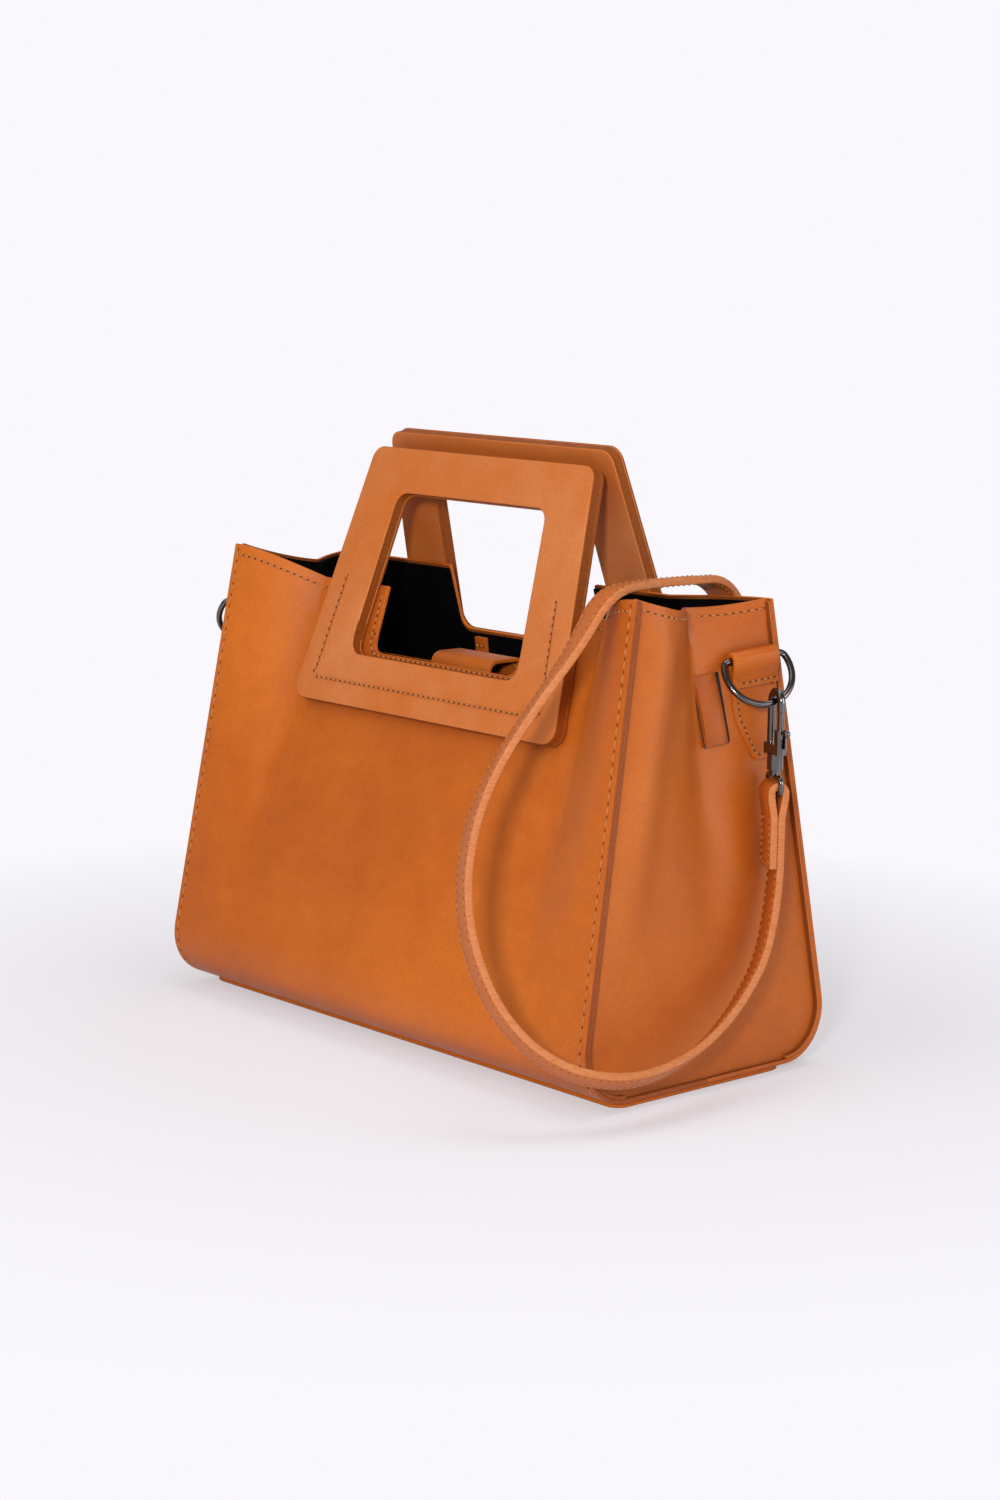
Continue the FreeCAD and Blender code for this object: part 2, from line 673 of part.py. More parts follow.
def hook_gate():
    """Sliding bolt that closes the hook, with a thumb knob through the barrel's slot."""
    tip = gate_tip()
    bolt = rod(Vector(BEND_MID_R, 0, tip - GATE_LEN), Vector(BEND_MID_R, 0, tip), GATE_D)
    height = knob_height()
    knob_end = Vector(BEND_MID_R + GATE_BARREL_D / 2 + KNOB_OUT, 0, height)
    stem = rod(Vector(BEND_MID_R, 0, height), knob_end, KNOB_D)
    knob = Part.makeSphere(0.8 * KNOB_D, knob_end)
    return placed(join([bolt, stem, knob]), HOOK_PLACE)


def gate_spring():
    """Coil under the gate, from the barrel's floor to the gate's foot."""
    low = GATE_FLOOR + SPRING_WIRE / 2 + GATE_GAP / 3
    high = gate_tip() - GATE_LEN - SPRING_WIRE / 2 - GATE_GAP / 3
    radius = GATE_D / 2 - SPRING_WIRE
    quarter = (high - low) / SPRING_TURNS / 4
    edges = []
    for i in range(4 * SPRING_TURNS):
        points = []
        for part in (0.0, 0.5, 1.0):
            angle = (i + part) * math.pi / 2
            points.append(Vector(BEND_MID_R + radius * math.cos(angle), radius * math.sin(angle),
                                 low + quarter * (i + part)))
        edges.append(arc(*points))
    path = Part.Wire(edges)
    start = edges[0].valueAt(edges[0].FirstParameter)
    tangent = edges[0].tangentAt(edges[0].FirstParameter)
    section = Part.Wire(Part.makeCircle(SPRING_WIRE / 2, start, tangent))
    return placed(path.makePipeShell([section], True, False), HOOK_PLACE)


def hook_eye():
    """Swivel post trapped in the boss, and the loop that holds the strap."""
    head_top = -POST_ROOM
    post = rod(Vector(0, 0, EYE_TOP), Vector(0, 0, head_top), POST_D)
    head = rod(Vector(0, 0, head_top - POST_HEAD_H), Vector(0, 0, head_top), POST_HEAD_D)
    collar = rod(Vector(0, 0, EYE_TOP), Vector(0, 0, -BOSS_H - POST_ROOM), 0.7 * BOSS_D)
    half = (EYE_IN_W + EYE_WIRE) / 2
    corner = EYE_WIRE
    pieces = [post, head, collar]
    for level, turn in ((EYE_TOP, -1), (EYE_LOW, 1)):
        pieces.append(rod(Vector(corner - half, 0, level), Vector(half - corner, 0, level),
                          EYE_WIRE))
        for side in (-1, 1):
            centre = Vector(side * (half - corner), 0, level + turn * corner)
            pieces.append(bend(centre, Vector(0, side * -turn, 0),
                               Vector(side * (half - corner), 0, level), 90, EYE_WIRE))
    for side in (-1, 1):
        pieces.append(rod(Vector(side * half, 0, EYE_LOW + corner),
                          Vector(side * half, 0, EYE_TOP - corner), EYE_WIRE))
    return placed(join(pieces), EYE_PLACE)


def strap_end():
    """The strap's end folded round the eye's lower bar and sewn back on itself."""
    inner = EYE_WIRE / 2 + STRAP_PLAY
    outer = inner + STRAP_T
    low = EYE_LOW - STRAP_FOLD
    neck = EYE_LOW - STRAP_NECK

    def at(y, z):
        return Vector(-STRAP_W / 2, y, z)

    outside = Part.Wire([
        arc(at(-outer, EYE_LOW), at(0, EYE_LOW + outer), at(outer, EYE_LOW)),
        line(at(outer, EYE_LOW), at(STRAP_T, neck)),
        line(at(STRAP_T, neck), at(STRAP_T, low)),
        line(at(STRAP_T, low), at(-STRAP_T, low)),
        line(at(-STRAP_T, low), at(-STRAP_T, neck)),
        line(at(-STRAP_T, neck), at(-outer, EYE_LOW)),
    ])
    hole = Part.Wire([
        arc(at(-inner, EYE_LOW), at(0, EYE_LOW + inner), at(inner, EYE_LOW)),
        line(at(inner, EYE_LOW), at(0, neck)),
        line(at(0, neck), at(-inner, EYE_LOW)),
    ])
    across = Vector(STRAP_W, 0, 0)
    folded = Part.Face(outside).extrude(across).cut(Part.Face(hole).extrude(across))
    return placed(folded, EYE_PLACE)


def strap_path():
    """Points along the strap: straight runs joined by tangent arcs, and the arcs' radii."""
    start = EYE_PLACE.multVec(Vector(0, STRAP_T / 2, EYE_LOW - STRAP_FOLD))
    finish = Vector(-start.x, -start.y, start.z)
    knots = [start] + [Vector(*point) for point in ROUTE] + [finish]
    points, radii = [start], []
    for before, here, after in zip(knots, knots[1:], knots[2:]):
        back, ahead = before - here, after - here
        reach = 0.45 * min(back.Length, ahead.Length)
        back.normalize()
        ahead.normalize()
        turn = math.pi - back.getAngle(ahead)
        radius = reach / math.tan(turn / 2)
        radii.append(radius)
        inward = (back + ahead).normalize()
        middle = here + inward * (radius / math.cos(turn / 2) - radius)
        points += [here + back * reach, middle, here + ahead * reach]
    return points + [finish], radii


def shoulder_strap():
    """The strap's free stretch: a flat band that turns over behind the bag."""
    points, radii = strap_path()
    count = len(points)
    tangents = []
    for i in range(count):
        before, after = points[max(i - 1, 0)], points[min(i + 1, count - 1)]
        tangents.append((after - before).normalize())
    down = EYE_PLACE.Rotation.multVec(-Z_AXIS)
    tangents[0] = down
    tangents[-1] = Vector(down.x, down.y, -down.z)
    run = [0.0]
    for a, b in zip(points, points[1:]):
        run.append(run[-1] + (b - a).Length)
    across = [EYE_PLACE.Rotation.multVec(X_AXIS)]
    for i in range(1, count):
        carried = FreeCAD.Rotation(tangents[i - 1], tangents[i]).multVec(across[-1])
        carried -= tangents[i] * carried.dot(tangents[i])
        across.append(carried.normalize())
    target = -across[0]
    target = (target - tangents[-1] * target.dot(tangents[-1])).normalize()
    missing = math.atan2(across[-1].cross(target).dot(tangents[-1]), across[-1].dot(target))
    sections = []
    for i in range(count):
        share = (run[i] / run[-1] - STRAP_TWIST_FROM) / (STRAP_TWIST_TO - STRAP_TWIST_FROM)
        share = min(1.0, max(0.0, share))
        ease = share * share * (3 - 2 * share)
        width = FreeCAD.Rotation(tangents[i], math.degrees(missing * ease)).multVec(across[i])
        side = width * (STRAP_W / 2)
        face = tangents[i].cross(width) * (STRAP_T / 2)
        corners = [points[i] + side + face, points[i] - side + face,
                   points[i] - side - face, points[i] + side - face]
        sections.append(Part.makePolygon(corners + corners[:1]))
    strap = Part.makeLoft(sections, True, True)
    print("strap: length %.0f, volume over section %.0f" % (run[-1], strap.Volume / STRAP_W / STRAP_T))
    print("strap radii:", " ".join("%.0f" % radius for radius in radii))
    print("strap exit: %.2f %.2f %.2f" % tuple(points[0]))
    return strap


POUCH_LOW = FLOOR_H + POUCH_LIFT
POUCH_TOP = POUCH_LOW + POUCH_H


def pouch_half(side):
    """One leather half of the pouch, an open-topped trough cut down its middle."""
    def box_of(wall_t, low):
        wires = []
        for h, t in ((low, POUCH_BASE_T), (POUCH_TOP, POUCH_TOP_T)):
            x, y = POUCH_W / 2 - wall_t, t / 2 - wall_t
            corners = [Vector(-x, POUCH_Y - y, h), Vector(x, POUCH_Y - y, h),
                       Vector(x, POUCH_Y + y, h), Vector(-x, POUCH_Y + y, h)]
            wires.append(Part.makePolygon(corners + corners[:1]))
        return Part.makeLoft(wires, True, True)

    shell = box_of(0.0, POUCH_LOW).cut(box_of(POUCH_WALL, POUCH_LOW + POUCH_WALL))
    ends = sorted((POUCH_Y, POUCH_Y + side * POUCH_BASE_T))
    return shell.common(block(-POUCH_W, POUCH_W, ends[0], ends[1], 0, 2 * POUCH_TOP))


ZIP_Z = POUCH_TOP - TOOTH_Z


def zip_teeth():
    """Two facing rows of teeth, drawn apart by the width of the slider's post."""
    count = int((POUCH_W - 2 * ZIP_END) / TOOTH_PITCH)
    teeth = []
    for side in (-1, 1):
        for i in range(count):
            x = -POUCH_W / 2 + ZIP_END + TOOTH_PITCH * (i + (0.5 if side > 0 else 0.0))
            ends = sorted((POUCH_Y + side * ZIP_GAP / 2, POUCH_Y + side * (ZIP_GAP / 2 + TOOTH_Y)))
            teeth.append(block(x, x + TOOTH_X, ends[0], ends[1], ZIP_Z, ZIP_Z + TOOTH_Z))
    return Part.makeCompound(teeth)


def zip_tapes():
    """A tape on each side, from the teeth to the pouch's wall."""
    middle = ZIP_Z + TOOTH_Z / 2
    share = (middle + TAPE_T / 2 - POUCH_LOW) / POUCH_H
    wall_y = (POUCH_BASE_T + (POUCH_TOP_T - POUCH_BASE_T) * share) / 2 - POUCH_WALL
    x = POUCH_W / 2 - POUCH_WALL
    tapes = []
    for side in (-1, 1):
        ends = sorted((POUCH_Y + side * (ZIP_GAP / 2 + TOOTH_Y), POUCH_Y + side * wall_y))
        tapes.append(block(-x, x, ends[0], ends[1], middle - TAPE_T / 2, middle + TAPE_T / 2))
    return Part.makeCompound(tapes)


SLIDER_X = POUCH_W / 2 - ZIP_END - 2 * SLIDER_L
PULL_EYE_R = PULL_PIN_D / 2 + PULL_PIN_FIT + PULL_EYE_WALL
PIN_H = ZIP_Z + TOOTH_Z + SLIDER_PLAY + SLIDER_T + SLIDER_PLAY + PULL_EYE_R


def zip_slider():
    """Two plates joined by a post between the rows, with a bail for the pull."""
    x0, x1 = SLIDER_X - SLIDER_L / 2, SLIDER_X + SLIDER_L / 2
    y0, y1 = POUCH_Y - SLIDER_W / 2, POUCH_Y + SLIDER_W / 2
    top = ZIP_Z + TOOTH_Z + SLIDER_PLAY
    low = ZIP_Z - SLIDER_PLAY
    upper = block(x0, x1, y0, y1, top, top + SLIDER_T)
    lower = block(x0, x1, y0, y1, low - SLIDER_T, low)
    post_half = ZIP_GAP / 2 - SLIDER_PLAY
    post = block(x0, x0 + SLIDER_L / 3, POUCH_Y - post_half, POUCH_Y + post_half, low, top)
    bail_y = PULL_W / 2 + SLIDER_PLAY
    pin = rod(Vector(SLIDER_X, POUCH_Y - bail_y, PIN_H), Vector(SLIDER_X, POUCH_Y + bail_y, PIN_H),
              PULL_PIN_D)
    ears = []
    for side in (-1, 1):
        ends = sorted((POUCH_Y + side * bail_y, POUCH_Y + side * (bail_y - SLIDER_PLAY / 2 + 0.8)))
        ears.append(block(SLIDER_X - PULL_PIN_D, SLIDER_X + PULL_PIN_D, ends[0], ends[1],
                          top, PIN_H + PULL_PIN_D))
    return join([upper, lower, post, pin] + ears)


def zip_pull():
    """A flat pull hung on the slider's bail, lying along the zip."""
    knuckle = rod(Vector(SLIDER_X, POUCH_Y - PULL_W / 2, PIN_H),
                  Vector(SLIDER_X, POUCH_Y + PULL_W / 2, PIN_H), 2 * PULL_EYE_R)
    blade = block(SLIDER_X - PULL_L, SLIDER_X, POUCH_Y - PULL_W / 2, POUCH_Y + PULL_W / 2,
                  PIN_H, PIN_H + PULL_T)
    bore = rod(Vector(SLIDER_X, POUCH_Y - PULL_W, PIN_H), Vector(SLIDER_X, POUCH_Y + PULL_W, PIN_H),
               PULL_PIN_D + 2 * PULL_PIN_FIT)
    return join([knuckle, blade]).cut(bore)


def pouch_face_y(side, height):
    """Where a face of the pouch stands at a height."""
    share = (height - POUCH_LOW) / POUCH_H
    return POUCH_Y + side * (POUCH_BASE_T + (POUCH_TOP_T - POUCH_BASE_T) * share) / 2


CREASE_Y = POUCH_Y + POUCH_TOP_T / 2
CREASE_H = POUCH_TOP + CLOSE_OVER


def closing_tab_root():
    """The tab's sewn part, up the pouch's back to the crease."""
    low = POUCH_TOP - CLOSE_BACK
    a, b = pouch_face_y(BACK, low), CREASE_Y
    corners = [(a, low), (a + CLOSE_T, low), (b + CLOSE_T, POUCH_TOP),
               (b + CLOSE_T, CREASE_H - HINGE_SLOT), (b, CREASE_H - HINGE_SLOT), (b, POUCH_TOP)]
    points = [Vector(-CLOSE_W / 2, y, z) for y, z in corners]
    return Part.Face(Part.makePolygon(points + points[:1])).extrude(Vector(CLOSE_W, 0, 0))


def closing_tab():
    """The part that lifts: over the zip and down in front of the pouch."""
    front = POUCH_Y - POUCH_TOP_T / 2 - CLOSE_SIDE
    low = POUCH_TOP - CLOSE_FRONT
    foot = pouch_face_y(FRONT, low) - CLOSE_SIDE
    x = -CLOSE_W / 2
    top = CREASE_H + CLOSE_T
    back = CREASE_Y + CLOSE_T
    r = CLOSE_CORNER_R
    s = r * (1 - math.sqrt(0.5))
    t = CLOSE_T
    inner = r - t
    q = t + inner * (1 - math.sqrt(0.5))
    outline = Part.Wire([
        line(Vector(x, back, CREASE_H), Vector(x, back, top)),
        line(Vector(x, back, top), Vector(x, front - t + r, top)),
        arc(Vector(x, front - t + r, top), Vector(x, front - t + s, top - s),
            Vector(x, front - t, top - r)),
        line(Vector(x, front - t, top - r), Vector(x, foot - t, low)),
        line(Vector(x, foot - t, low), Vector(x, foot, low)),
        line(Vector(x, foot, low), Vector(x, front, top - r)),
        arc(Vector(x, front, top - r), Vector(x, front - t + q, top - q),
            Vector(x, front + inner, CREASE_H)),
        line(Vector(x, front + inner, CREASE_H), Vector(x, back, CREASE_H)),
    ])
    return Part.Face(outline).extrude(Vector(CLOSE_W, 0, 0))


SNAP_H = POUCH_TOP - CLOSE_FRONT + SNAP_D / 2 + CLOSE_T


def snap_axis():
    """Out of the pouch's front face, at the middle of the snap."""
    slope = (POUCH_BASE_T - POUCH_TOP_T) / 2 / POUCH_H
    return Vector(0, -math.cos(math.atan(slope)), math.sin(math.atan(slope)))


def snap_plate():
    """Steel disc on the pouch."""
    seat = Vector(0, pouch_face_y(FRONT, SNAP_H), SNAP_H)
    return Part.makeCylinder(SNAP_D / 2, SNAP_T, seat, snap_axis())


def snap_magnet():
    """Magnet on the tab's inner face, facing the disc."""
    seat = Vector(0, pouch_face_y(FRONT, SNAP_H), SNAP_H) + snap_axis() * (SNAP_T + SNAP_GAP)
    disc = Part.makeCylinder(SNAP_D / 2, CLOSE_SIDE, seat, snap_axis())
    return disc.cut(closing_tab_outside())


def closing_tab_outside():
    """All that lies on the outer side of the tab's inner front face."""
    front = POUCH_Y - POUCH_TOP_T / 2 - CLOSE_SIDE
    low = POUCH_TOP - CLOSE_FRONT
    foot = pouch_face_y(FRONT, low) - CLOSE_SIDE
    top = CREASE_H + CLOSE_T - CLOSE_CORNER_R
    far = 4 * CLOSE_SIDE
    points = [Vector(-CLOSE_W, y, z) for y, z in
              ((foot, low), (front, top), (front - far, top), (foot - far, low))]
    return Part.Face(Part.makePolygon(points + points[:1])).extrude(Vector(2 * CLOSE_W, 0, 0))


def cut_low_point(side):
    """Lower edge of a panel's cut-out, on the lining's inner face."""
    depth = LEATHER + LINING
    return handle_placement(side).multVec(Vector(0, GRIP_LOW + CUT_LIFT, -depth))


LEASH_TOP = cut_low_point(BACK).z - LEASH_BELOW_CUT
_, BACK_LEAN = lean(BACK, 0.0)
LEASH_PIVOT = LEASH_TOP - LEASH_ANCHOR_H
LEASH_FACE_Y = cut_low_point(BACK).y + LEASH_BELOW_CUT * math.tan(BACK_LEAN)


def leash_anchor():
    """Sewn end of the leash, a wedge between the leaning lining and the hanging strip."""
    x0, x1 = LEASH_X - LEASH_W / 2, LEASH_X + LEASH_W / 2
    low_y = LEASH_FACE_Y + LEASH_ANCHOR_H * math.tan(BACK_LEAN)
    front_y = LEASH_FACE_Y - LEASH_T
    corners = [(LEASH_FACE_Y, LEASH_TOP), (low_y, LEASH_PIVOT), (front_y, LEASH_PIVOT),
               (front_y, LEASH_TOP)]
    points = [Vector(x0, y, z) for y, z in corners]
    return Part.Face(Part.makePolygon(points + points[:1])).extrude(Vector(x1 - x0, 0, 0))


def key_leash():
    """Hanging strip with a hole for the clip."""
    x0, x1 = LEASH_X - LEASH_W / 2, LEASH_X + LEASH_W / 2
    y1 = LEASH_FACE_Y
    top = LEASH_PIVOT - HINGE_SLOT
    strip = block(x0, x1, y1 - LEASH_T, y1, top - LEASH_L, top)
    hole_h = top - LEASH_L + LEASH_W / 2
    hole = rod(Vector(LEASH_X, y1 - 2 * LEASH_T, hole_h), Vector(LEASH_X, y1 + LEASH_T, hole_h),
               CLIP_WIRE + 2 * CLIP_PLAY)
    return strip.cut(hole)


def leash_clip():
    """Split ring through the leash's hole."""
    hole_h = LEASH_PIVOT - HINGE_SLOT - LEASH_L + LEASH_W / 2
    centre = Vector(LEASH_X, LEASH_FACE_Y - LEASH_T / 2, hole_h - CLIP_R)
    return Part.makeTorus(CLIP_R, CLIP_WIRE / 2, centre, X_AXIS)


def build():
    nodes = {}
    for name, side in (("front", FRONT), ("back", BACK)):
        nodes[name + "_panel"] = panel(side)
        nodes[name + "_lining"] = panel_lining(side)
        nodes[name + "_handle_backing"] = handle_layer(side, 0, HANDLE_SKIN)
        nodes[name + "_handle_core"] = handle_layer(side, HANDLE_SKIN, HANDLE_SKIN + HANDLE_CORE)
        nodes[name + "_handle_facing"] = handle_layer(side, HANDLE_SKIN + HANDLE_CORE, HANDLE_T)
    nodes["base_panel"] = base_panel()
    nodes["base_board"] = base_sheet(BOARD_LOW, BOARD_T)
    nodes["base_lining"] = base_sheet(BOARD_LOW + BOARD_T, LINING)
    for name, make in (("gusset", gusset), ("gusset_lining", gusset_lining)):
        nodes["right_" + name] = make(RIGHT)
        nodes["left_" + name] = turned_round(make(LEFT))
    for name, make in (("cinch_band", cinch_band), ("ring_tab", ring_tab), ("d_ring", d_ring),
                       ("hook_body", hook_body), ("hook_gate", hook_gate),
                       ("gate_spring", gate_spring), ("hook_eye", hook_eye),
                       ("strap_end", strap_end)):
        piece = make()
        nodes["right_" + name] = piece
        nodes["left_" + name] = turned_round(piece)
    nodes["shoulder_strap"] = shoulder_strap()
    nodes["pouch_front"] = pouch_half(FRONT)
    nodes["pouch_back"] = pouch_half(BACK)
    nodes["zip_tapes"] = zip_tapes()
    nodes["zip_teeth"] = zip_teeth()
    nodes["zip_slider"] = zip_slider()
    nodes["zip_pull"] = zip_pull()
    nodes["closing_tab_root"] = closing_tab_root()
    nodes["closing_tab"] = closing_tab()
    nodes["snap_plate"] = snap_plate()
    nodes["snap_magnet"] = snap_magnet()
    nodes["leash_anchor"] = leash_anchor()
    nodes["key_leash"] = key_leash()
    nodes["leash_clip"] = leash_clip()
    return nodes


os.makedirs("parts", exist_ok=True)
for node, shape in build().items():
    solids = shape.Solids
    print("%-22s solids %3d volume %10.2f valid %s" % (node, len(solids), shape.Volume, shape.isValid()))
    whole = solids[0] if len(solids) == 1 else Part.makeCompound(solids)
    whole.exportStep("parts/%s.step" % node)
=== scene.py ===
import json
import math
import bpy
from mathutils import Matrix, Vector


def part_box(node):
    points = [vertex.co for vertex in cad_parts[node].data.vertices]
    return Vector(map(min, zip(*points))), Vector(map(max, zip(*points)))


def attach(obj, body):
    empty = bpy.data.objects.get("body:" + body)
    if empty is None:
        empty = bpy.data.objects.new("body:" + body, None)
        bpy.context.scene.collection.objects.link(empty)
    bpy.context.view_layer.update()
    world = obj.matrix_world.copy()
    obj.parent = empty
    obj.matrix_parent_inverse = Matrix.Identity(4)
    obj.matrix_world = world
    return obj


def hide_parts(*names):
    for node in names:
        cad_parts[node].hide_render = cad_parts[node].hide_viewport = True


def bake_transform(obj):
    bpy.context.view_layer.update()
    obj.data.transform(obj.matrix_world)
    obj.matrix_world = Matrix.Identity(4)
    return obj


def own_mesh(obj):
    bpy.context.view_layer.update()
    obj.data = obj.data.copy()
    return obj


bl_info = {
    "name": "Top Handle Bag",
    "version": (1, 0, 0),
    "blender": (4, 5, 0),
    "location": "View3D > Sidebar > Bag",
    "description": "Dresses the packed frame of a leather top handle bag",
    "category": "Object",
}

from types import SimpleNamespace

import bpy
from mathutils import Matrix, Quaternion, Vector

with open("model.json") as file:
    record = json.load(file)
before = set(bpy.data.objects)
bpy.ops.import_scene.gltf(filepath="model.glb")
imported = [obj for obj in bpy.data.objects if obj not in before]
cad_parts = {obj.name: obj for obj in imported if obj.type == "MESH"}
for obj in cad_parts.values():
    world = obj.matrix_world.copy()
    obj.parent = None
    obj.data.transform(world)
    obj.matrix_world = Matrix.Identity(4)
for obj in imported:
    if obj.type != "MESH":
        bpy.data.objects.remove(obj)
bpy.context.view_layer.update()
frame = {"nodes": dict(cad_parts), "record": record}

# The frame is in metres; the shapes below are worked out in millimetres, as a leather worker would.
MM = 0.001
# Edges sharper than this many degrees stay crisp.
SHARP = 40.0
FRONT = -1
BACK = 1
RIGHT = 1
LEFT = -1


def srgb(red, green, blue):
    """A colour as seen on a screen, 0 to 255, as the linear values that shaders take."""
    linear = []
    for value in (red, green, blue):
        share = value / 255
        linear.append(share / 12.92 if share <= 0.04045 else ((share + 0.055) / 1.055) ** 2.4)
    return tuple(linear)


def length(name, description, default):
    """A size, given here in millimetres and kept in metres."""
    return bpy.props.FloatProperty(name=name, description=description, default=default * MM, min=0.0,
                                   unit="LENGTH")


def colour(name, description, default):
    """A colour, given as it is seen on a screen."""
    return bpy.props.FloatVectorProperty(name=name, description=description, default=srgb(*default),
                                         subtype="COLOR", size=3, min=0.0, max=1.0)


def angle(name, description, default):
    """An angle, given in degrees."""
    return bpy.props.FloatProperty(name=name, description=description, default=math.radians(default),
                                   subtype="ANGLE")


def in_mm(owner):
    """The values of a group, or an operator's properties, with lengths in millimetres."""
    values = {}
    for field in owner.bl_rna.properties:
        value = getattr(owner, field.identifier)
        values[field.identifier] = round(value / MM, 4) if field.unit == "LENGTH" else value
    return SimpleNamespace(**values)


class BagBodySizes(bpy.types.PropertyGroup):
    """Shape of the bag's body."""

    base_w: length("Base width", "Across the side seams at the base", 300.0)
    top_w: length("Top width", "Across the side seams at the rim", 282.0)
    base_d: length("Base depth", "Front to back at the fullest height", 148.0)
    top_d: length("Top depth", "Front to back at the rim's corners", 83.5)
    front_corner_h: length("Front corner", "Rim height at the front corners", 219.0)
    back_corner_h: length("Back corner", "Rim height at the back corners", 214.0)
    front_rim_h: length("Front rim", "Rim height at the front handle", 205.0)
    back_rim_h: length("Back rim", "Rim height at the back handle", 213.0)
    front_rim_y: length("Front rim reach", "Front rim to the middle, at the handle", 19.0)
    back_rim_y: length("Back rim reach", "Back rim to the middle, at the handle", 21.0)
    bend_r: length("Roll", "Radius of the panels' roll under the base", 24.0)
    base_t: length("Base panel", "Thickness of the base panel", 3.5)
    leather: length("Panel leather", "Thickness of the front and back", 2.0)
    gusset_leather: length("Gusset leather", "Thickness of the gussets", 1.6)
    lining: length("Lining", "Thickness of the lining", 0.8)
    seam_fin: length("Seam fin", "Panel edge standing out past the gusset", 2.5)
    fold_in: length("Fold depth", "Inward fold of the gusset at the rim", 18.0)
    fold_low_h: length("Fold foot", "Height where the fold starts", 105.0)
    fold_y: length("Fold place", "Valley of the fold, towards the back", 5.0)
    fold_bulge: length("Fold swell", "Swell of the front half beside the fold", 6.0)
    gusset_dip: length("Gusset dip", "Sink of the gusset's top edge at the fold", 6.0)
    ripple: length("Ripple", "Height of the soft waves in the leather", 0.7)
    belly: length("Belly", "Swell of the panels' middle", 1.6)
    gusset_belly: length("Gusset belly", "Swell of the gussets' lower half", 1.2)
    column: length("Column", "Fullness of the gusset beside its front seam", 4.0)
    hollow: length("Hollow", "Sink of the gusset below its fold", 2.8)
    plate_w: length("Base plate width", "Base panel across", 292.0)
    plate_d: length("Base plate depth", "Base panel front to back", 104.0)
    plate_r: length("Base plate corners", "Corner radius of the base panel", 7.0)


class BagHandleSizes(bpy.types.PropertyGroup):
    """Shape of the two handles."""

    base_w: length("Foot width", "Across the foot", 186.0)
    top_w: length("Top width", "Across the top", 153.0)
    height: length("Height", "Up the slope", 125.5)
    drop: length("Drop", "Reach below the rim", 60.0)
    corner_r: length("Corners", "Outer corner radius", 7.0)
    grip_base_w: length("Opening foot", "Hand opening across its foot", 118.0)
    grip_top_w: length("Opening top", "Hand opening across its top", 103.0)
    grip_low: length("Lower bar", "Height of the lower bar", 25.0)
    grip_high: length("Grip bar", "Underside of the grip bar", 104.0)
    grip_r: length("Opening corners", "Corner radius of the opening", 7.0)
    skin: length("Skin", "Leather on each face", 1.8)
    core: length("Core", "Stiffening board", 3.6)
    cut_inset: length("Cut inset", "Panel showing beside the opening", 8.5)
    cut_lift: length("Cut lift", "Panel showing under the opening", 3.0)
    cut_r: length("Cut corners", "Corner radius of the panel's cut", 6.0)
    crown: length("Crown", "Swell of the facing", 0.35)
    core_inset: length("Core inset", "Core drawn in from the skins' edges", 0.25)
    sewing_up: length("Sewing height", "Stitches above the handle's foot", 11.0)
    sewing_aside: length("Sewing inset", "Stitches from the handle's sides", 13.0)
    sewing_r: length("Sewing corners", "Corner radius of the stitch line", 4.0)


class BagTrimSizes(bpy.types.PropertyGroup):
    """Straps, tabs and thread."""

    strap_w: length("Strap width", "Across the shoulder strap", 14.5)
    strap_t: length("Strap thickness", "Through the shoulder strap", 3.4)
    strap_fold: length("Strap fold", "Length sewn back on itself", 35.0)
    thread: length("Thread", "Thickness of the sewing thread", 1.0)
    hem_pitch: length("Hem stitch", "Stitch pitch along hems and handles", 3.6)
    seam_pitch: length("Seam stitch", "Stitch pitch along the side seams", 5.6)
    fine_pitch: length("Fine stitch", "Stitch pitch on small pieces", 2.88)
    strap_thread: length("Strap thread", "Thickness of the strap's thread", 0.65)
    seam_inset: length("Seam inset", "Seam stitches from the panel's edge", 3.4)
    hem_inset: length("Hem inset", "Hem stitches from the rim", 5.0)
    strap_inset: length("Strap inset", "Strap stitches from its edge", 2.2)
    flap_inset: length("Tab inset", "Closing tab's stitches from its edge", 2.4)
    tab_w: length("Ring tab width", "Across the ring tab", 22.0)
    tab_t: length("Ring tab leather", "Through the ring tab", 2.4)
    tab_tail: length("Ring tab tail", "Tongue below the ring's bar", 46.0)
    band_w: length("Band width", "Across the cinch band", 11.5)
    band_h: length("Band height", "Up the cinch band", 31.0)


class BagLooks(bpy.types.PropertyGroup):
    """Colours and finish."""

    tan: colour("Tan", "Main leather", (214, 114, 31))
    # The deep tan also gives the colour of the painted shade in the leather's hollows.
    tan_deep: colour("Deep tan", "Darker clouds and burnished edges", (186, 88, 18))
    tan_pale: colour("Pale tan", "Raw edges and worn rims", (216, 140, 92))
    seam: colour("Seam edge", "Stained edges along the seams", (172, 88, 42))
    strap: colour("Strap", "Face of the shoulder strap", (194, 108, 52))
    thread: colour("Thread", "Sewing thread", (210, 130, 60))
    # The lining is a dark cloth, darkened here to nearly black: painted shade of the bag's inside. The zip
    # tape takes the same darkened colour.
    inside: colour("Lining", "Dark cloth inside", (4, 3, 3))
    metal: colour("Metal", "Gunmetal plating", (98, 95, 94))
    backdrop: colour("Backdrop", "Floor and background", (250, 248, 253))
    gloss: bpy.props.FloatProperty(name="Leather roughness", description="0 is shiny, 1 is matt",
                                   default=0.48, min=0.0, max=1.0, subtype="FACTOR")


class BagView(bpy.types.PropertyGroup):
    """Camera of the studio view."""

    turn: angle("Turn", "Round the bag from its front", 48.3)
    tilt: angle("Tilt", "Down on the bag", 9.8)
    roll: angle("Roll", "Lean of the camera", 0.8)
    distance: length("Distance", "Camera to the bag's middle", 1383.8)
    height: length("Height", "Height of the bag's middle", 131.25)
    aside: length("Aside", "Camera moved to its right", 6.1)
    lens: bpy.props.FloatProperty(name="Lens", description="Focal length in millimetres",
                                  default=70.79, min=1.0)


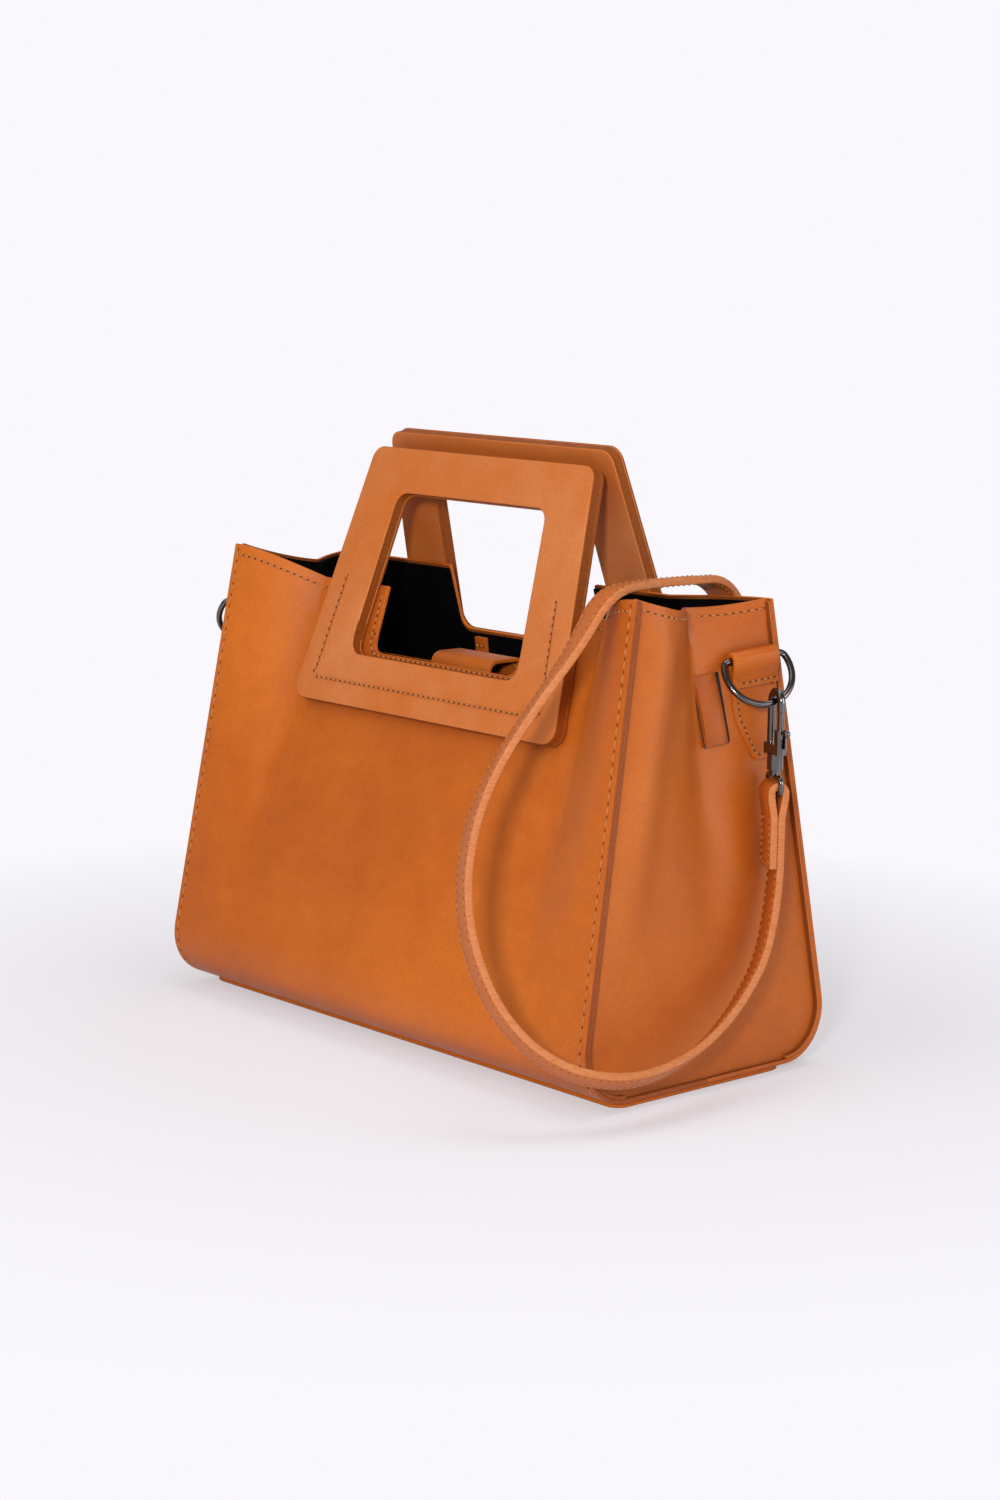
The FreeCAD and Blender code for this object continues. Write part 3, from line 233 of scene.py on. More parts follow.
def smooth(value, low, high):
    """0 below low, 1 above high, with a soft ramp between."""
    share = min(1.0, max(0.0, (value - low) / (high - low)))
    return share * share * (3 - 2 * share)


def dim(tint, share):
    """A tint made darker, or lighter where share is above 1."""
    return tuple(share * c for c in tint)


def spaced(first, last, steps):
    """Even values from first to last, both included."""
    return [first + (last - first) * k / steps for k in range(steps + 1)]


def arc(centre, radius, first, last, steps):
    """Points along part of a circle, from one angle to another in degrees."""
    points = []
    for at in spaced(math.radians(first), math.radians(last), steps):
        points.append((centre[0] + radius * math.cos(at), centre[1] + radius * math.sin(at)))
    return points


def oblong(low_x, high_x, low_y, high_y):
    """Corners of an upright rectangle."""
    return [(low_x, low_y), (high_x, low_y), (high_x, high_y), (low_x, high_y)]


def mirrored(route):
    """A line on the right half, led across to its mirror image on the left."""
    return [(-x, y) for x, y in reversed(route)] + route


def heading(path, i):
    """Direction of a path at one of its points."""
    return (path[min(i + 1, len(path) - 1)] - path[max(i - 1, 0)]).normalized()


# Meshes


def piece_from(name, points, faces, slots, indices, crease=SHARP):
    """An object from points in millimetres; faces carry the index of their material."""
    mesh = bpy.data.meshes.new(name)
    mesh.from_pydata([tuple(c * MM for c in p) for p in points], [], faces)
    for material in slots:
        mesh.materials.append(material)
    mesh.polygons.foreach_set("material_index", indices)
    mesh.polygons.foreach_set("use_smooth", [True] * len(faces))
    mesh.set_sharp_from_angle(angle=math.radians(crease))
    mesh.update()
    piece = bpy.data.objects.new(name, mesh)
    bpy.context.scene.collection.objects.link(piece)
    return piece


def soften(piece, width, segments=2):
    """Rounds a piece's hard edges."""
    bevel = piece.modifiers.new("Soft edges", "BEVEL")
    bevel.width = width * MM
    bevel.segments = segments
    bevel.limit_method = "ANGLE"
    bevel.angle_limit = math.radians(SHARP)
    bevel.harden_normals = True
    return piece


def grid(rows, columns, flip=False):
    """Faces of a sheet whose points run row by row."""
    faces = []
    for r in range(rows - 1):
        for c in range(columns - 1):
            a = r * columns + c
            face = (a, a + 1, a + columns + 1, a + columns)
            faces.append(face[::-1] if flip else face)
    return faces


def thickened(name, outer, inner, quads, slots):
    """A closed shell between two matching sheets, with face, back and edge materials."""
    used = sorted({i for quad in quads for i in quad})
    place = {old: new for new, old in enumerate(used)}
    count = len(used)
    points = [outer[i] for i in used] + [inner[i] for i in used]
    fronts = [tuple(place[i] for i in quad) for quad in quads]
    backs = [tuple(count + i for i in reversed(face)) for face in fronts]
    border = {}
    for face in fronts:
        for a, b in zip(face, face[1:] + face[:1]):
            if border.pop((b, a), None) is None:
                border[(a, b)] = True
    edges = [(b, a, count + a, count + b) for a, b in border]
    indices = [0] * len(fronts) + [1] * len(backs) + [2] * len(edges)
    return piece_from(name, points, fronts + backs + edges, slots, indices)


def plate_between(name, top, low, slots):
    """A closed plate between two matching outlines."""
    return thickened(name, top, low, [tuple(range(len(top)))], slots)


def rounded_loop(corners, radii, arc_steps=6, side_steps=8):
    """A closed outline with rounded corners; the counts are the same for any corners."""
    count = len(corners)
    loop = []
    for i in range(count):
        here = Vector(corners[i])
        back = (Vector(corners[i - 1]) - here).normalized()
        ahead = (Vector(corners[(i + 1) % count]) - here).normalized()
        half = back.angle(ahead) / 2
        reach = radii[i] / math.tan(half)
        centre = here + (back + ahead).normalized() * (radii[i] / math.sin(half))
        first = here + back * reach - centre
        last = here + ahead * reach - centre
        for k in range(arc_steps + 1):
            share = k / arc_steps
            mixed = first.slerp(last, share) * radii[i] if radii[i] > 0 else first
            loop.append(centre + mixed)
        following = Vector(corners[(i + 1) % count])
        next_ahead = (Vector(corners[(i + 2) % count]) - following).normalized()
        next_half = (-ahead).angle(next_ahead) / 2
        next_reach = radii[(i + 1) % count] / math.tan(next_half)
        start = here + ahead * reach
        finish = following - ahead * next_reach
        for k in range(1, side_steps):
            loop.append(start.lerp(finish, k / side_steps))
    return loop


def ribbon(name, path, across, outline, slots, edge_from):
    """A strip of one section along a path; across is its width direction at each point."""
    points = []
    count = len(path)
    size = len(outline)
    for i in range(count):
        face = heading(path, i).cross(across[i]).normalized()
        for side, height in outline:
            points.append(path[i] + across[i] * side + face * height)
    faces = []
    indices = []
    for i in range(count - 1):
        for k in range(size):
            a = i * size + k
            b = i * size + (k + 1) % size
            faces.append((a, b, b + size, a + size))
            indices.append(1 if edge_from(k) else 0)
    faces.append(tuple(reversed(range(size))))
    faces.append(tuple(range((count - 1) * size, count * size)))
    indices += [1, 1]
    return piece_from(name, points, faces, slots, indices)


def lengths_along(path):
    """Length from a path's start to each of its points."""
    runs = [0.0]
    for a, b in zip(path, path[1:]):
        runs.append(runs[-1] + (b - a).length)
    return runs


class Thread:
    """Stitches of several lines, gathered into one mesh."""

    RING = ((0.0, 1.0), (0.87, 0.5), (0.87, -0.5), (0.0, -1.0), (-0.87, -0.5), (-0.87, 0.5))
    PROFILE = ((-0.5, 0.25), (-0.42, 0.75), (-0.2, 1.0), (0.2, 1.0), (0.42, 0.75), (0.5, 0.25))

    def __init__(self, thickness):
        self.radius = thickness / 2
        self.points = []
        self.faces = []
        self.holes = []

    def stitch(self, middle, along, out, size):
        """One stitch that dips into the leather at both ends."""
        side = along.cross(out).normalized()
        first = len(self.points)
        for place, share in self.PROFILE:
            sink = self.radius * (0.25 - 0.8 * max(0.0, abs(place) - 0.2) / 0.3)
            centre = middle + along * (place * size) + out * sink
            for a, b in self.RING:
                self.points.append(centre + (side * a + out * b) * (self.radius * share))
        rings, count = len(self.PROFILE), len(self.RING)
        for r in range(rings - 1):
            for k in range(count):
                a = first + r * count + k
                b = first + r * count + (k + 1) % count
                self.faces.append((a, b, b + count, a + count))
        self.faces.append(tuple(first + k for k in reversed(range(count))))
        self.faces.append(tuple(first + (rings - 1) * count + k for k in range(count)))

    def hole(self, middle, along, out):
        """Painted shade of the hole between two stitches: a flat dark disc lying on the leather."""
        side = along.cross(out).normalized()
        first = len(self.points)
        for a, b in self.RING:
            flat = side * (0.95 * a) + along * (1.5 * b)
            self.points.append(middle + flat * self.radius + out * 0.04)
        self.holes.append(len(self.faces))
        self.faces.append(tuple(first + k for k in range(len(self.RING))))

    def line(self, path, normals, pitch, share=0.62):
        """Stitches along a path of points, lying on the leather with the given normals."""
        runs = lengths_along(path)
        count = max(1, round(runs[-1] / pitch))
        step = runs[-1] / count
        k = 0
        for i in range(count):
            place = (i + 0.5) * step
            while runs[k + 1] < place and k < len(runs) - 2:
                k += 1
            part = (place - runs[k]) / max(1e-9, runs[k + 1] - runs[k])
            along = (path[k + 1] - path[k]).normalized()
            out = normals[k].lerp(normals[k + 1], part).normalized()
            middle = path[k].lerp(path[k + 1], part)
            self.stitch(middle, along, out, share * step)
            self.hole(middle + along * (step / 2), along, out)

    def edges(self, path, across, half, lift, pitch):
        """Stitches along both edges of a strip, on the face that the sign of lift picks."""
        for edge in (1, -1):
            line, out = [], []
            for i, at in enumerate(path):
                up = heading(path, i).cross(across[i]).normalized() * math.copysign(1, lift)
                line.append(at + across[i] * (edge * half) + up * abs(lift))
                out.append(up)
            self.line(line, out, pitch)

    def made(self, name, looks):
        """The gathered stitches as one piece."""
        indices = [0] * len(self.faces)
        for face in self.holes:
            indices[face] = 1
        slots = [looks["tan_thread"], looks["prick"]]
        return piece_from(name, self.points, self.faces, slots, indices, 80.0)


# Shape of the body


class BodyShape:
    """Surfaces of the body from its sizes; u runs from -1 at the left seam to 1 at the right."""

    def __init__(self, scene):
        b = in_mm(scene.bag_body)
        h = in_mm(scene.bag_handles)
        self.b = b
        self.h = h
        self.taper = (b.base_w - b.top_w) / 2 / b.front_corner_h
        self.flat_u = (h.base_w / 2 + 5.0) / (b.top_w / 2)
        self.gusset_u = 1 - b.seam_fin / (b.base_w / 2)
        self.lining_u = self.gusset_u - (b.gusset_leather + 1.2 * b.lining) / (b.top_w / 2)
        self.centre_y = b.base_d / 2 - b.bend_r
        self.centre_h = b.base_t + b.bend_r

    def rim(self, side, u):
        """Distance from the middle and height of the rim's outer edge."""
        b = self.b
        spread = max(0.0, (abs(u) - self.flat_u) / (1 - self.flat_u))
        ease = math.sin(spread * math.pi / 2)
        middle_y = b.front_rim_y if side == FRONT else b.back_rim_y
        middle_h = b.front_rim_h if side == FRONT else b.back_rim_h
        corner_h = b.front_corner_h if side == FRONT else b.back_corner_h
        return middle_y + (b.top_d / 2 - middle_y) * ease, middle_h + (corner_h - middle_h) * ease

    def lean(self, side, u):
        """Angle of the panel's outward direction above the horizontal."""
        rim_y, rim_h = self.rim(side, u)
        across, up = rim_y - self.centre_y, rim_h - self.centre_h
        return math.atan2(up, across) - math.acos(self.b.bend_r / math.hypot(across, up))

    def lean_length(self, side, u):
        """Length of the panel's straight part, from its roll to its rim."""
        angle = self.lean(side, u)
        rim_y, rim_h = self.rim(side, u)
        start_y = self.centre_y + self.b.bend_r * math.cos(angle)
        start_h = self.centre_h + self.b.bend_r * math.sin(angle)
        return math.hypot(rim_y - start_y, rim_h - start_h)

    def out(self, side, u, roll=1.0):
        """Outward direction of the panel's lean, or part of the way round its roll."""
        turn = (self.lean(side, u) + math.pi / 2) * roll - math.pi / 2
        return Vector((0, side * math.cos(turn), math.sin(turn)))

    def wave(self, side, u, x, height):
        """Soft unevenness of the leather, still at the seams and under the handle."""
        b = self.b
        above_roll = smooth(height, 24, 70)
        off_seam = 1 - smooth(abs(u), 0.86, 0.99)
        off_handle = 1 - smooth(height, 118, 142) * (1 - smooth(abs(x), 96, 112))
        below_rim = 1 - smooth(height, 170, 205)
        swing = math.sin(x / 41 + 0.8 * side + 1.1) * math.sin(height / 33 + 0.7)
        swing += 0.6 * math.sin(x / 19 - height / 27 + 2 * side)
        rise = min(1.0, max(0.0, (height - 20) / 150))
        belly = b.belly * math.sin(math.pi * rise) * (1 - u * u)
        return above_roll * off_seam * off_handle * below_rim * (b.ripple * swing + belly)

    def panel(self, side, u, zone, share, depth):
        """A point of a panel; zone is 0 under the base, 1 on the roll, 2 on the lean."""
        b = self.b
        angle = self.lean(side, u)
        radius = b.bend_r - depth
        if zone == 0:
            y, height = self.centre_y * share, self.centre_h - radius
        elif zone == 1:
            turn = -math.pi / 2 + (angle + math.pi / 2) * share
            y = self.centre_y + radius * math.cos(turn)
            height = self.centre_h + radius * math.sin(turn)
        else:
            rim_y, rim_h = self.rim(side, u)
            start_y = self.centre_y + radius * math.cos(angle)
            start_h = self.centre_h + radius * math.sin(angle)
            y = start_y + (rim_y - depth * math.cos(angle) - start_y) * share
            height = start_h + (rim_h - depth * math.sin(angle) - start_h) * share
        blend = min(1.0, max(0.0, (abs(u) - 0.4) / (self.flat_u - 0.4)))
        x = u * (b.base_w / 2 - self.taper * height * blend)
        if zone == 2:
            push = self.wave(side, u, x, height)
            y += push * math.cos(angle)
            height += push * math.sin(angle)
        return Vector((x, side * y, height))

    def cut_share(self, side, x, drop=0.0):
        """How far up its lean the panel is cut at x, inside the hand opening."""
        h = self.h
        half = h.grip_base_w / 2 - h.cut_inset
        past = max(0.0, abs(x) - (half - h.cut_r))
        low = h.grip_low + h.cut_lift + h.cut_r - math.sqrt(max(0.0, h.cut_r ** 2 - past ** 2))
        whole = self.lean_length(side, 0.0)
        return (whole - h.drop + low - drop) / whole

    def seam(self, side, height):
        """Distance from the middle of a panel's inner face at the gusset's edge."""
        radius = self.b.bend_r - self.b.leather
        angle = self.lean(side, self.gusset_u)
        turn_h = self.centre_h + radius * math.sin(angle)
        if height <= turn_h:
            return self.centre_y + math.sqrt(max(0.0, radius ** 2 - (height - self.centre_h) ** 2))
        top = self.panel(side, self.gusset_u, 2, 1.0, self.b.leather)
        low_y = self.centre_y + radius * math.cos(angle)
        return low_y + (abs(top.y) - low_y) * (height - turn_h) / (top.z - turn_h)

    def corner_heights(self, side):
        """Heights of a gusset's two top corners, in the right gusset's order."""
        heights = (self.b.front_corner_h, self.b.back_corner_h)
        return heights if side == RIGHT else heights[::-1]

    def gusset_x(self, height):
        """Distance of the flat gusset from the middle."""
        return self.gusset_u * (self.b.base_w / 2 - self.taper * height)

    def fold(self, y, height):
        """How far the gusset stands out from its flat form beside its fold."""
        b = self.b
        share = max(0.0, (height - b.fold_low_h) / (b.front_corner_h - b.fold_low_h))
        first = 2.0 - self.seam(FRONT, height)
        last = self.seam(BACK, height) - 2.0
        if share == 0.0 or y <= first or y >= last:
            return 0.0
        part = (y - first) / (b.fold_y - first)
        swell = b.fold_bulge * math.sin(math.pi * min(1.0, part)) - b.fold_in * part * part
        slant = -b.fold_in * (last - y) / (last - b.fold_y)
        crease = 1.4
        rounding = crease * math.log(1 + math.exp(-abs(swell - slant) / crease))
        return share * (max(swell, slant) + rounding)

    def slump(self, y, height, first, last):
        """The full column beside the front seam and the hollow below the fold."""
        b = self.b
        hold = min(1.0, (y - first) / 6.0, (last - y) / 6.0)
        column = math.exp(-((y - first - 17.0) / 11.0) ** 2) * (1 - smooth(height, 196, 216))
        hollow = math.exp(-((y - b.fold_y) / 13.0) ** 2) * (1 - smooth(height, 140, 175))
        column *= b.column * smooth(height, 45, 130)
        return hold * (column - b.hollow * hollow * smooth(height, 40, 120))

    def slant(self, y, height):
        """A point of the right gusset's slanting back half, where tab and band are sewn."""
        b = self.b
        share = max(0.0, (height - b.fold_low_h) / (b.front_corner_h - b.fold_low_h))
        edge = self.seam(BACK, height) - 2.0
        x = self.gusset_x(height) - b.fold_in * share * (edge - y) / (edge - b.fold_y)
        return Vector((x, y, height))

    def gusset_top(self, y, front_h, back_h):
        """Height of the gusset's top edge, which sinks at the fold."""
        a, c = -self.seam(FRONT, front_h), self.seam(BACK, back_h)
        m = self.b.fold_y
        middle_h = (front_h + back_h) / 2 - self.b.gusset_dip
        rise = front_h * (y - m) * (y - c) / ((a - m) * (a - c))
        rise += middle_h * (y - a) * (y - c) / ((m - a) * (m - c))
        return rise + back_h * (y - a) * (y - m) / ((c - a) * (c - m))

    def gusset(self, share, zone, rise, depth, front_h, back_h):
        """A point of the right gusset: share runs from its front seam to its back seam."""
        b = self.b
        radius = b.bend_r - b.leather
        angle = self.lean(FRONT, self.gusset_u)
        turn_h = self.centre_h + radius * math.sin(angle)
        if zone == 1:
            height = self.centre_h + radius * math.sin(-math.pi / 2 + (angle + math.pi / 2) * rise)
        else:
            height = turn_h + (front_h - turn_h) * rise
            for _ in range(3):
                first, last = -self.seam(FRONT, height), self.seam(BACK, height)
                top = self.gusset_top(first + (last - first) * share, front_h, back_h)
                height = turn_h + (top - turn_h) * rise
        first, last = -self.seam(FRONT, height), self.seam(BACK, height)
        y = first + (last - first) * share
        edge = math.sin(math.pi * share)
        swing = math.sin(y / 21 + 0.6) * math.sin(height / 37 + 1.0)
        swing += 0.5 * math.sin(y / 11 + height / 29)
        push = b.ripple * swing * edge * smooth(height, 15, 60) * (1 - smooth(height, 90, 150))
        push += b.gusset_belly * edge * smooth(height, 10, 60) * (1 - smooth(height, 80, 140))
        push += self.slump(y, height, first, last)
        hem = 0.0
        if zone == 2 and depth == 0.0:
            tall = front_h - turn_h
            hem = 0.5 * smooth(rise * tall, tall - 10, tall - 8)
        return Vector((self.gusset_x(height) - depth + self.fold(y, height) + push + hem, y, height))

    def handle_place(self, side):
        """Matrix with X across, Y up the slope from the handle's foot, Z out of the panel."""
        angle = self.lean(side, 0.0)
        rim_y, rim_h = self.rim(side, 0.0)
        up = Vector((0, -side * math.sin(angle), math.cos(angle)))
        out = Vector((0, side * math.cos(angle), math.sin(angle)))
        foot = Vector((0, side * rim_y, rim_h)) - up * self.h.drop
        return placed_axes(up.cross(out), up, out, foot)


def placed_axes(x, y, z, origin):
    """Matrix of three directions and a place."""
    matrix = Matrix((x, y, z)).transposed().to_4x4()
    matrix.translation = origin
    return matrix


def seated(origin, above, beside):
    """Matrix on the gusset: X out of the leather, Y across, Z up."""
    up = (above - origin).normalized()
    out = (beside - origin).cross(up).normalized()
    return placed_axes(out, up.cross(out), up, origin)


def turn(point, side):
    """A place or direction on the right; for the left side it is turned half round."""
    return Vector((-point.x, -point.y, point.z)) if side == LEFT else point


def turned(points, side):
    """Several places or directions, for one side of the bag."""
    return [turn(p, side) for p in points]


def body_columns(shape):
    """Values of u across a panel, closer at the cut's corners and at the seams."""
    h = shape.h
    half = h.grip_base_w / 2 - h.cut_inset
    full = shape.b.base_w / 2
    xs = [0.0, 8.0, 16.0, 24.0, 31.0, 38.0]
    xs += [half - h.cut_r + h.cut_r * math.sin(k * math.pi / 12) for k in range(7)]
    us = [x / full for x in xs]
    start = us[-1]
    us += spaced(start, shape.flat_u, 9)[1:]
    us += [shape.flat_u + (1 - shape.flat_u) * (1 - (1 - k / 18) ** 1.4) for k in range(1, 19)]
    return [-u for u in reversed(us[1:])] + us


def panel_sheet(shape, name, side, depth, thickness, us, drop, slots, from_floor=False):
    """A panel of leather or lining, open where the hand goes through."""
    rows = [(0, 0.0, False), (0, 0.6, False)]
    rows += [(1, share, False) for share in spaced(0.0, 1.0, 12)]
    if from_floor:
        rows = [(1, share, False) for share in spaced(0.3, 1.0, 9)]
    rows += [(2, share, False) for share in spaced(0.0, 1.0, 26)[1:]]
    first_upper = len(rows)
    rows += [(2, share, True) for share in spaced(0.0, 1.0, 12)[1:]]
    h = shape.h
    half = h.grip_base_w / 2 - h.cut_inset
    full = shape.b.base_w / 2
    sheets = ([], [])
    for zone, share, upper in rows:
        for u in us:
            whole = shape.lean_length(side, u)
            level = shape.cut_share(side, min(abs(u) * full, half), drop)
            place = share
            if zone == 2 and not upper:
                place = level * share
            elif zone == 2:
                place = level + (1 - drop / whole - level) * share
            for sheet, at in zip(sheets, (depth, depth + thickness)):
                sheet.append(shape.panel(side, u, zone, place, at))
    quads = []
    columns = len(us)
    for quad in grid(len(rows), columns, side == BACK):
        row = min(quad) // columns
        middle = min(quad) % columns
        inside = max(abs(us[middle]), abs(us[middle + 1])) * full < half + 0.01
        if row < first_upper - 1 or not inside:
            quads.append(quad)
    return thickened(name, sheets[0], sheets[1], quads, slots)


def gusset_sheet(shape, name, side, depth, thickness, slots, from_floor=False):
    """A gusset or its lining; the left one is the right one turned half round."""
    rows = [(1, rise) for rise in (spaced(0.3, 1.0, 8) if from_floor else spaced(0.0, 1.0, 10))]
    top = 1.0 if depth == 0.0 else 0.992
    rows += [(2, rise) for rise in spaced(0.0, top, 50)[1:]]
    shares = [0.5 - 0.5 * math.cos(turn_by) for turn_by in spaced(0.0, math.pi, 48)]
    sheets = ([], [])
    for zone, rise in rows:
        for share in shares:
            for sheet, at in zip(sheets, (depth, depth + thickness)):
                point = shape.gusset(share, zone, rise, at, *shape.corner_heights(side))
                sheet.append(turn(point, side))
    return thickened(name, *sheets, grid(len(rows), len(shares)), slots)


def seam_strip(shape, name, side, end, slots):
    """The gusset's edge that turns out along a panel and is sewn to it."""
    b = shape.b
    us = [end * u for u in spaced(shape.gusset_u - 0.004, 1.0, 3)]
    rows = [(1, share) for share in spaced(0.0, 1.0, 14)]
    rows += [(2, share) for share in spaced(0.0, 0.996, 40)[1:]]
    sheets = ([], [])
    for zone, share in rows:
        for u in us:
            for sheet, at in zip(sheets, (b.leather, b.leather + b.gusset_leather)):
                sheet.append(shape.panel(side, u, zone, share, at))
    flip = (side == BACK) != (end == LEFT)
    return thickened(name, sheets[0], sheets[1], grid(len(rows), len(us), flip), slots)


def flat_plate(name, loop, low, high, slots):
    """A level plate of one outline between two heights."""
    top = [Vector((p.x, p.y, high)) for p in loop]
    return plate_between(name, top, [Vector((p.x, p.y, low)) for p in loop], slots)


def framed_plate(name, outside, inside, low, high, crown, slots, place):
    """A plate with an opening; its face is crowned between the two edges."""
    shares = (0.0, 0.05, 0.12, 0.3, 0.5, 0.7, 0.88, 0.95, 1.0)
    count = len(outside)
    outer, inner = [], []
    for share in shares:
        swell = crown * (1 - (2 * share - 1) ** 6)
        for a, b in zip(outside, inside):
            p = a.lerp(b, share)
            outer.append(place @ Vector((p.x, p.y, high - crown + swell)))
            inner.append(place @ Vector((p.x, p.y, low)))
    quads = []
    for r in range(len(shares) - 1):
        for k in range(count):
            a, b = r * count + k, r * count + (k + 1) % count
            quads.append((a, b, b + count, a + count))
    return thickened(name, outer, inner, quads, slots)


# Materials


class Nodes:
    """Short names for building the nodes of a material or the world."""

    def __init__(self, owner, output="ShaderNodeOutputMaterial", place="Object"):
        owner.use_nodes = True
        self.owner = owner
        self.tree = owner.node_tree
        self.tree.nodes.clear()
        self.output = self.add(output)
        self.place = self.add("ShaderNodeTexCoord").outputs[place]

    def add(self, kind, **values):
        node = self.tree.nodes.new(kind)
        for key, value in values.items():
            setattr(node, key, value)
        return node

    def link(self, source, target):
        self.tree.links.new(source, target)

    def noise(self, scale, detail=4.0, rough=0.55, place=None):
        node = self.add("ShaderNodeTexNoise")
        node.inputs["Scale"].default_value = scale
        node.inputs["Detail"].default_value = detail
        node.inputs["Roughness"].default_value = rough
        self.link(place or self.place, node.inputs["Vector"])
        return node.outputs["Fac"]

    def cells(self, scale, feature="F1"):
        node = self.add("ShaderNodeTexVoronoi", feature=feature)
        node.inputs["Scale"].default_value = scale
        self.link(self.place, node.inputs["Vector"])
        return node.outputs["Distance"]

    def stretched(self, x, y, z):
        node = self.add("ShaderNodeMapping")
        node.inputs["Scale"].default_value = (x, y, z)
        self.link(self.place, node.inputs["Vector"])
        return node.outputs["Vector"]

    def span(self, source, low, high, to_low, to_high):
        node = self.add("ShaderNodeMapRange")
        for key, value in (("From Min", low), ("From Max", high), ("To Min", to_low), ("To Max", to_high)):
            node.inputs[key].default_value = value
        self.link(source, node.inputs["Value"])
        return node.outputs["Result"]

    def maths(self, kind, a, b):
        node = self.add("ShaderNodeMath", operation=kind)
        for socket, value in zip(node.inputs, (a, b)):
            if isinstance(value, (int, float)):
                socket.default_value = value
            else:
                self.link(value, socket)
        return node.outputs["Value"]

    def mix(self, share, first, second):
        node = self.add("ShaderNodeMix", data_type="RGBA")
        for key, value in ((6, first), (7, second)):
            if isinstance(value, tuple):
                node.inputs[key].default_value = (*value, 1.0)
            else:
                self.link(value, node.inputs[key])
        if isinstance(share, float):
            node.inputs[0].default_value = share
        else:
            self.link(share, node.inputs[0])
        return node.outputs[2]

    def bump(self, height, strength, distance, below=None):
        node = self.add("ShaderNodeBump")
        node.inputs["Strength"].default_value = strength
        node.inputs["Distance"].default_value = distance
        self.link(height, node.inputs["Height"])
        if below is not None:
            self.link(below, node.inputs["Normal"])
        return node.outputs["Normal"]

    def finish(self, base, rough, normal=None, **values):
        shader = self.add("ShaderNodeBsdfPrincipled")
        for key, value in values.items():
            shader.inputs[key.replace("_", " ")].default_value = value
        for key, value in (("Base Color", base), ("Roughness", rough), ("Normal", normal)):
            if value is None:
                continue
            if isinstance(value, tuple):
                shader.inputs[key].default_value = (*value, 1.0)
            elif isinstance(value, float):
                shader.inputs[key].default_value = value
            else:
                self.link(value, shader.inputs[key])
        self.link(shader.outputs["BSDF"], self.output.inputs["Surface"])
        return self.owner

    def seen(self):
        """1 for rays that show the backdrop: straight on, mirrored or through glass."""
        path = self.add("ShaderNodeLightPath")
        share = path.outputs["Is Camera Ray"]
        for ray in ("Is Glossy Ray", "Is Transmission Ray"):
            share = self.maths("MAXIMUM", share, path.outputs[ray])
        return share

    def either(self, share, first, second):
        """Ends in a mix of two shaders."""
        blend = self.add("ShaderNodeMixShader")
        for source, socket in zip((share, first, second), blend.inputs):
            self.link(source, socket)
        self.link(blend.outputs["Shader"], self.output.inputs["Surface"])


def surface(name):
    """Nodes of a new or emptied material."""
    return Nodes(bpy.data.materials.get(name) or bpy.data.materials.new(name))


def leather(name, light, deep, rough, grain=1.0, cloud=7.0):
    """Smooth full-grain leather: clouded colour, fine pebble, a few creases, and painted shade that darkens
    the colour in its hollows and creases.
    """
    n = surface(name)
    clouds = n.span(n.noise(cloud, 3.0, 0.6), 0.34, 0.68, 0.0, 1.0)
    mottle = n.span(n.noise(85.0, 5.0, 0.65), 0.35, 0.7, 0.0, 1.0)
    specks = n.span(n.cells(420.0), 0.0, 0.12, 1.0, 0.0)
    share = n.maths("ADD", n.maths("MULTIPLY", clouds, 0.72), n.maths("MULTIPLY", mottle, 0.28))
    tint = n.mix(share, deep, light)
    darker = dim(deep, 0.55)
    tint = n.mix(n.maths("MULTIPLY", specks, 0.22), tint, darker)
    grain_dots = n.span(n.noise(1150.0, 2.0, 0.5), 0.38, 0.66, 0.0, 0.2)
    tint = n.mix(grain_dots, tint, darker)
    # Painted shade: ambient occlusion darkens the colour in hollows and creases, beside the seams and under
    # the handles.
    crease_shade = n.add("ShaderNodeAmbientOcclusion", samples=6)
    crease_shade.inputs["Distance"].default_value = 0.022
    tint = n.mix(n.span(crease_shade.outputs["AO"], 0.45, 0.92, 0.62, 0.0), tint, dim(deep, 0.7))
    pebble = n.cells(1500.0, "SMOOTH_F1")
    fine = n.noise(3200.0, 2.0)
    height = n.maths("ADD", n.maths("MULTIPLY", pebble, 0.7), n.maths("MULTIPLY", fine, 0.3))
    normal = n.bump(height, 0.34 * grain, 0.00028)
    creases = n.noise(38.0, 6.0, 0.6, n.stretched(1.0, 1.0, 0.6))
    normal = n.bump(creases, 0.10 * grain, 0.0012, normal)
    gloss = n.span(mottle, 0.0, 1.0, rough - 0.05, rough + 0.07)
    return n.finish(tint, gloss, normal, Specular_IOR_Level=0.25)


def raw_edge(name, light, deep):
    """Cut edge of leather: paler, with the layers of fibre showing."""
    n = surface(name)
    fibres = n.noise(900.0, 4.0, 0.7, n.stretched(0.3, 0.3, 1.6))
    tint = n.mix(n.span(fibres, 0.3, 0.7, 0.0, 1.0), deep, light)
    normal = n.bump(fibres, 0.3, 0.0002)
    return n.finish(tint, 0.62, normal, Specular_IOR_Level=0.15)


def cloth(name, tint, scale=1600.0):
    """Plain woven cloth."""
    n = surface(name)
    weave = []
    for direction in ("X", "Z"):
        wave = n.add("ShaderNodeTexWave", bands_direction=direction, wave_profile="SIN")
        wave.inputs["Scale"].default_value = scale / 5
        wave.inputs["Distortion"].default_value = 0.4
        n.link(n.place, wave.inputs["Vector"])
        weave.append(wave.outputs["Fac"])
    height = n.maths("MAXIMUM", weave[0], weave[1])
    dust = n.span(n.noise(60.0, 5.0), 0.3, 0.8, 0.0, 1.0)
    lighter = tuple(2.2 * c + 0.002 for c in tint)
    colour_out = n.mix(n.maths("MULTIPLY", dust, height), tint, lighter)
    return n.finish(colour_out, 0.85, n.bump(height, 0.35, 0.0002), Specular_IOR_Level=0.05)


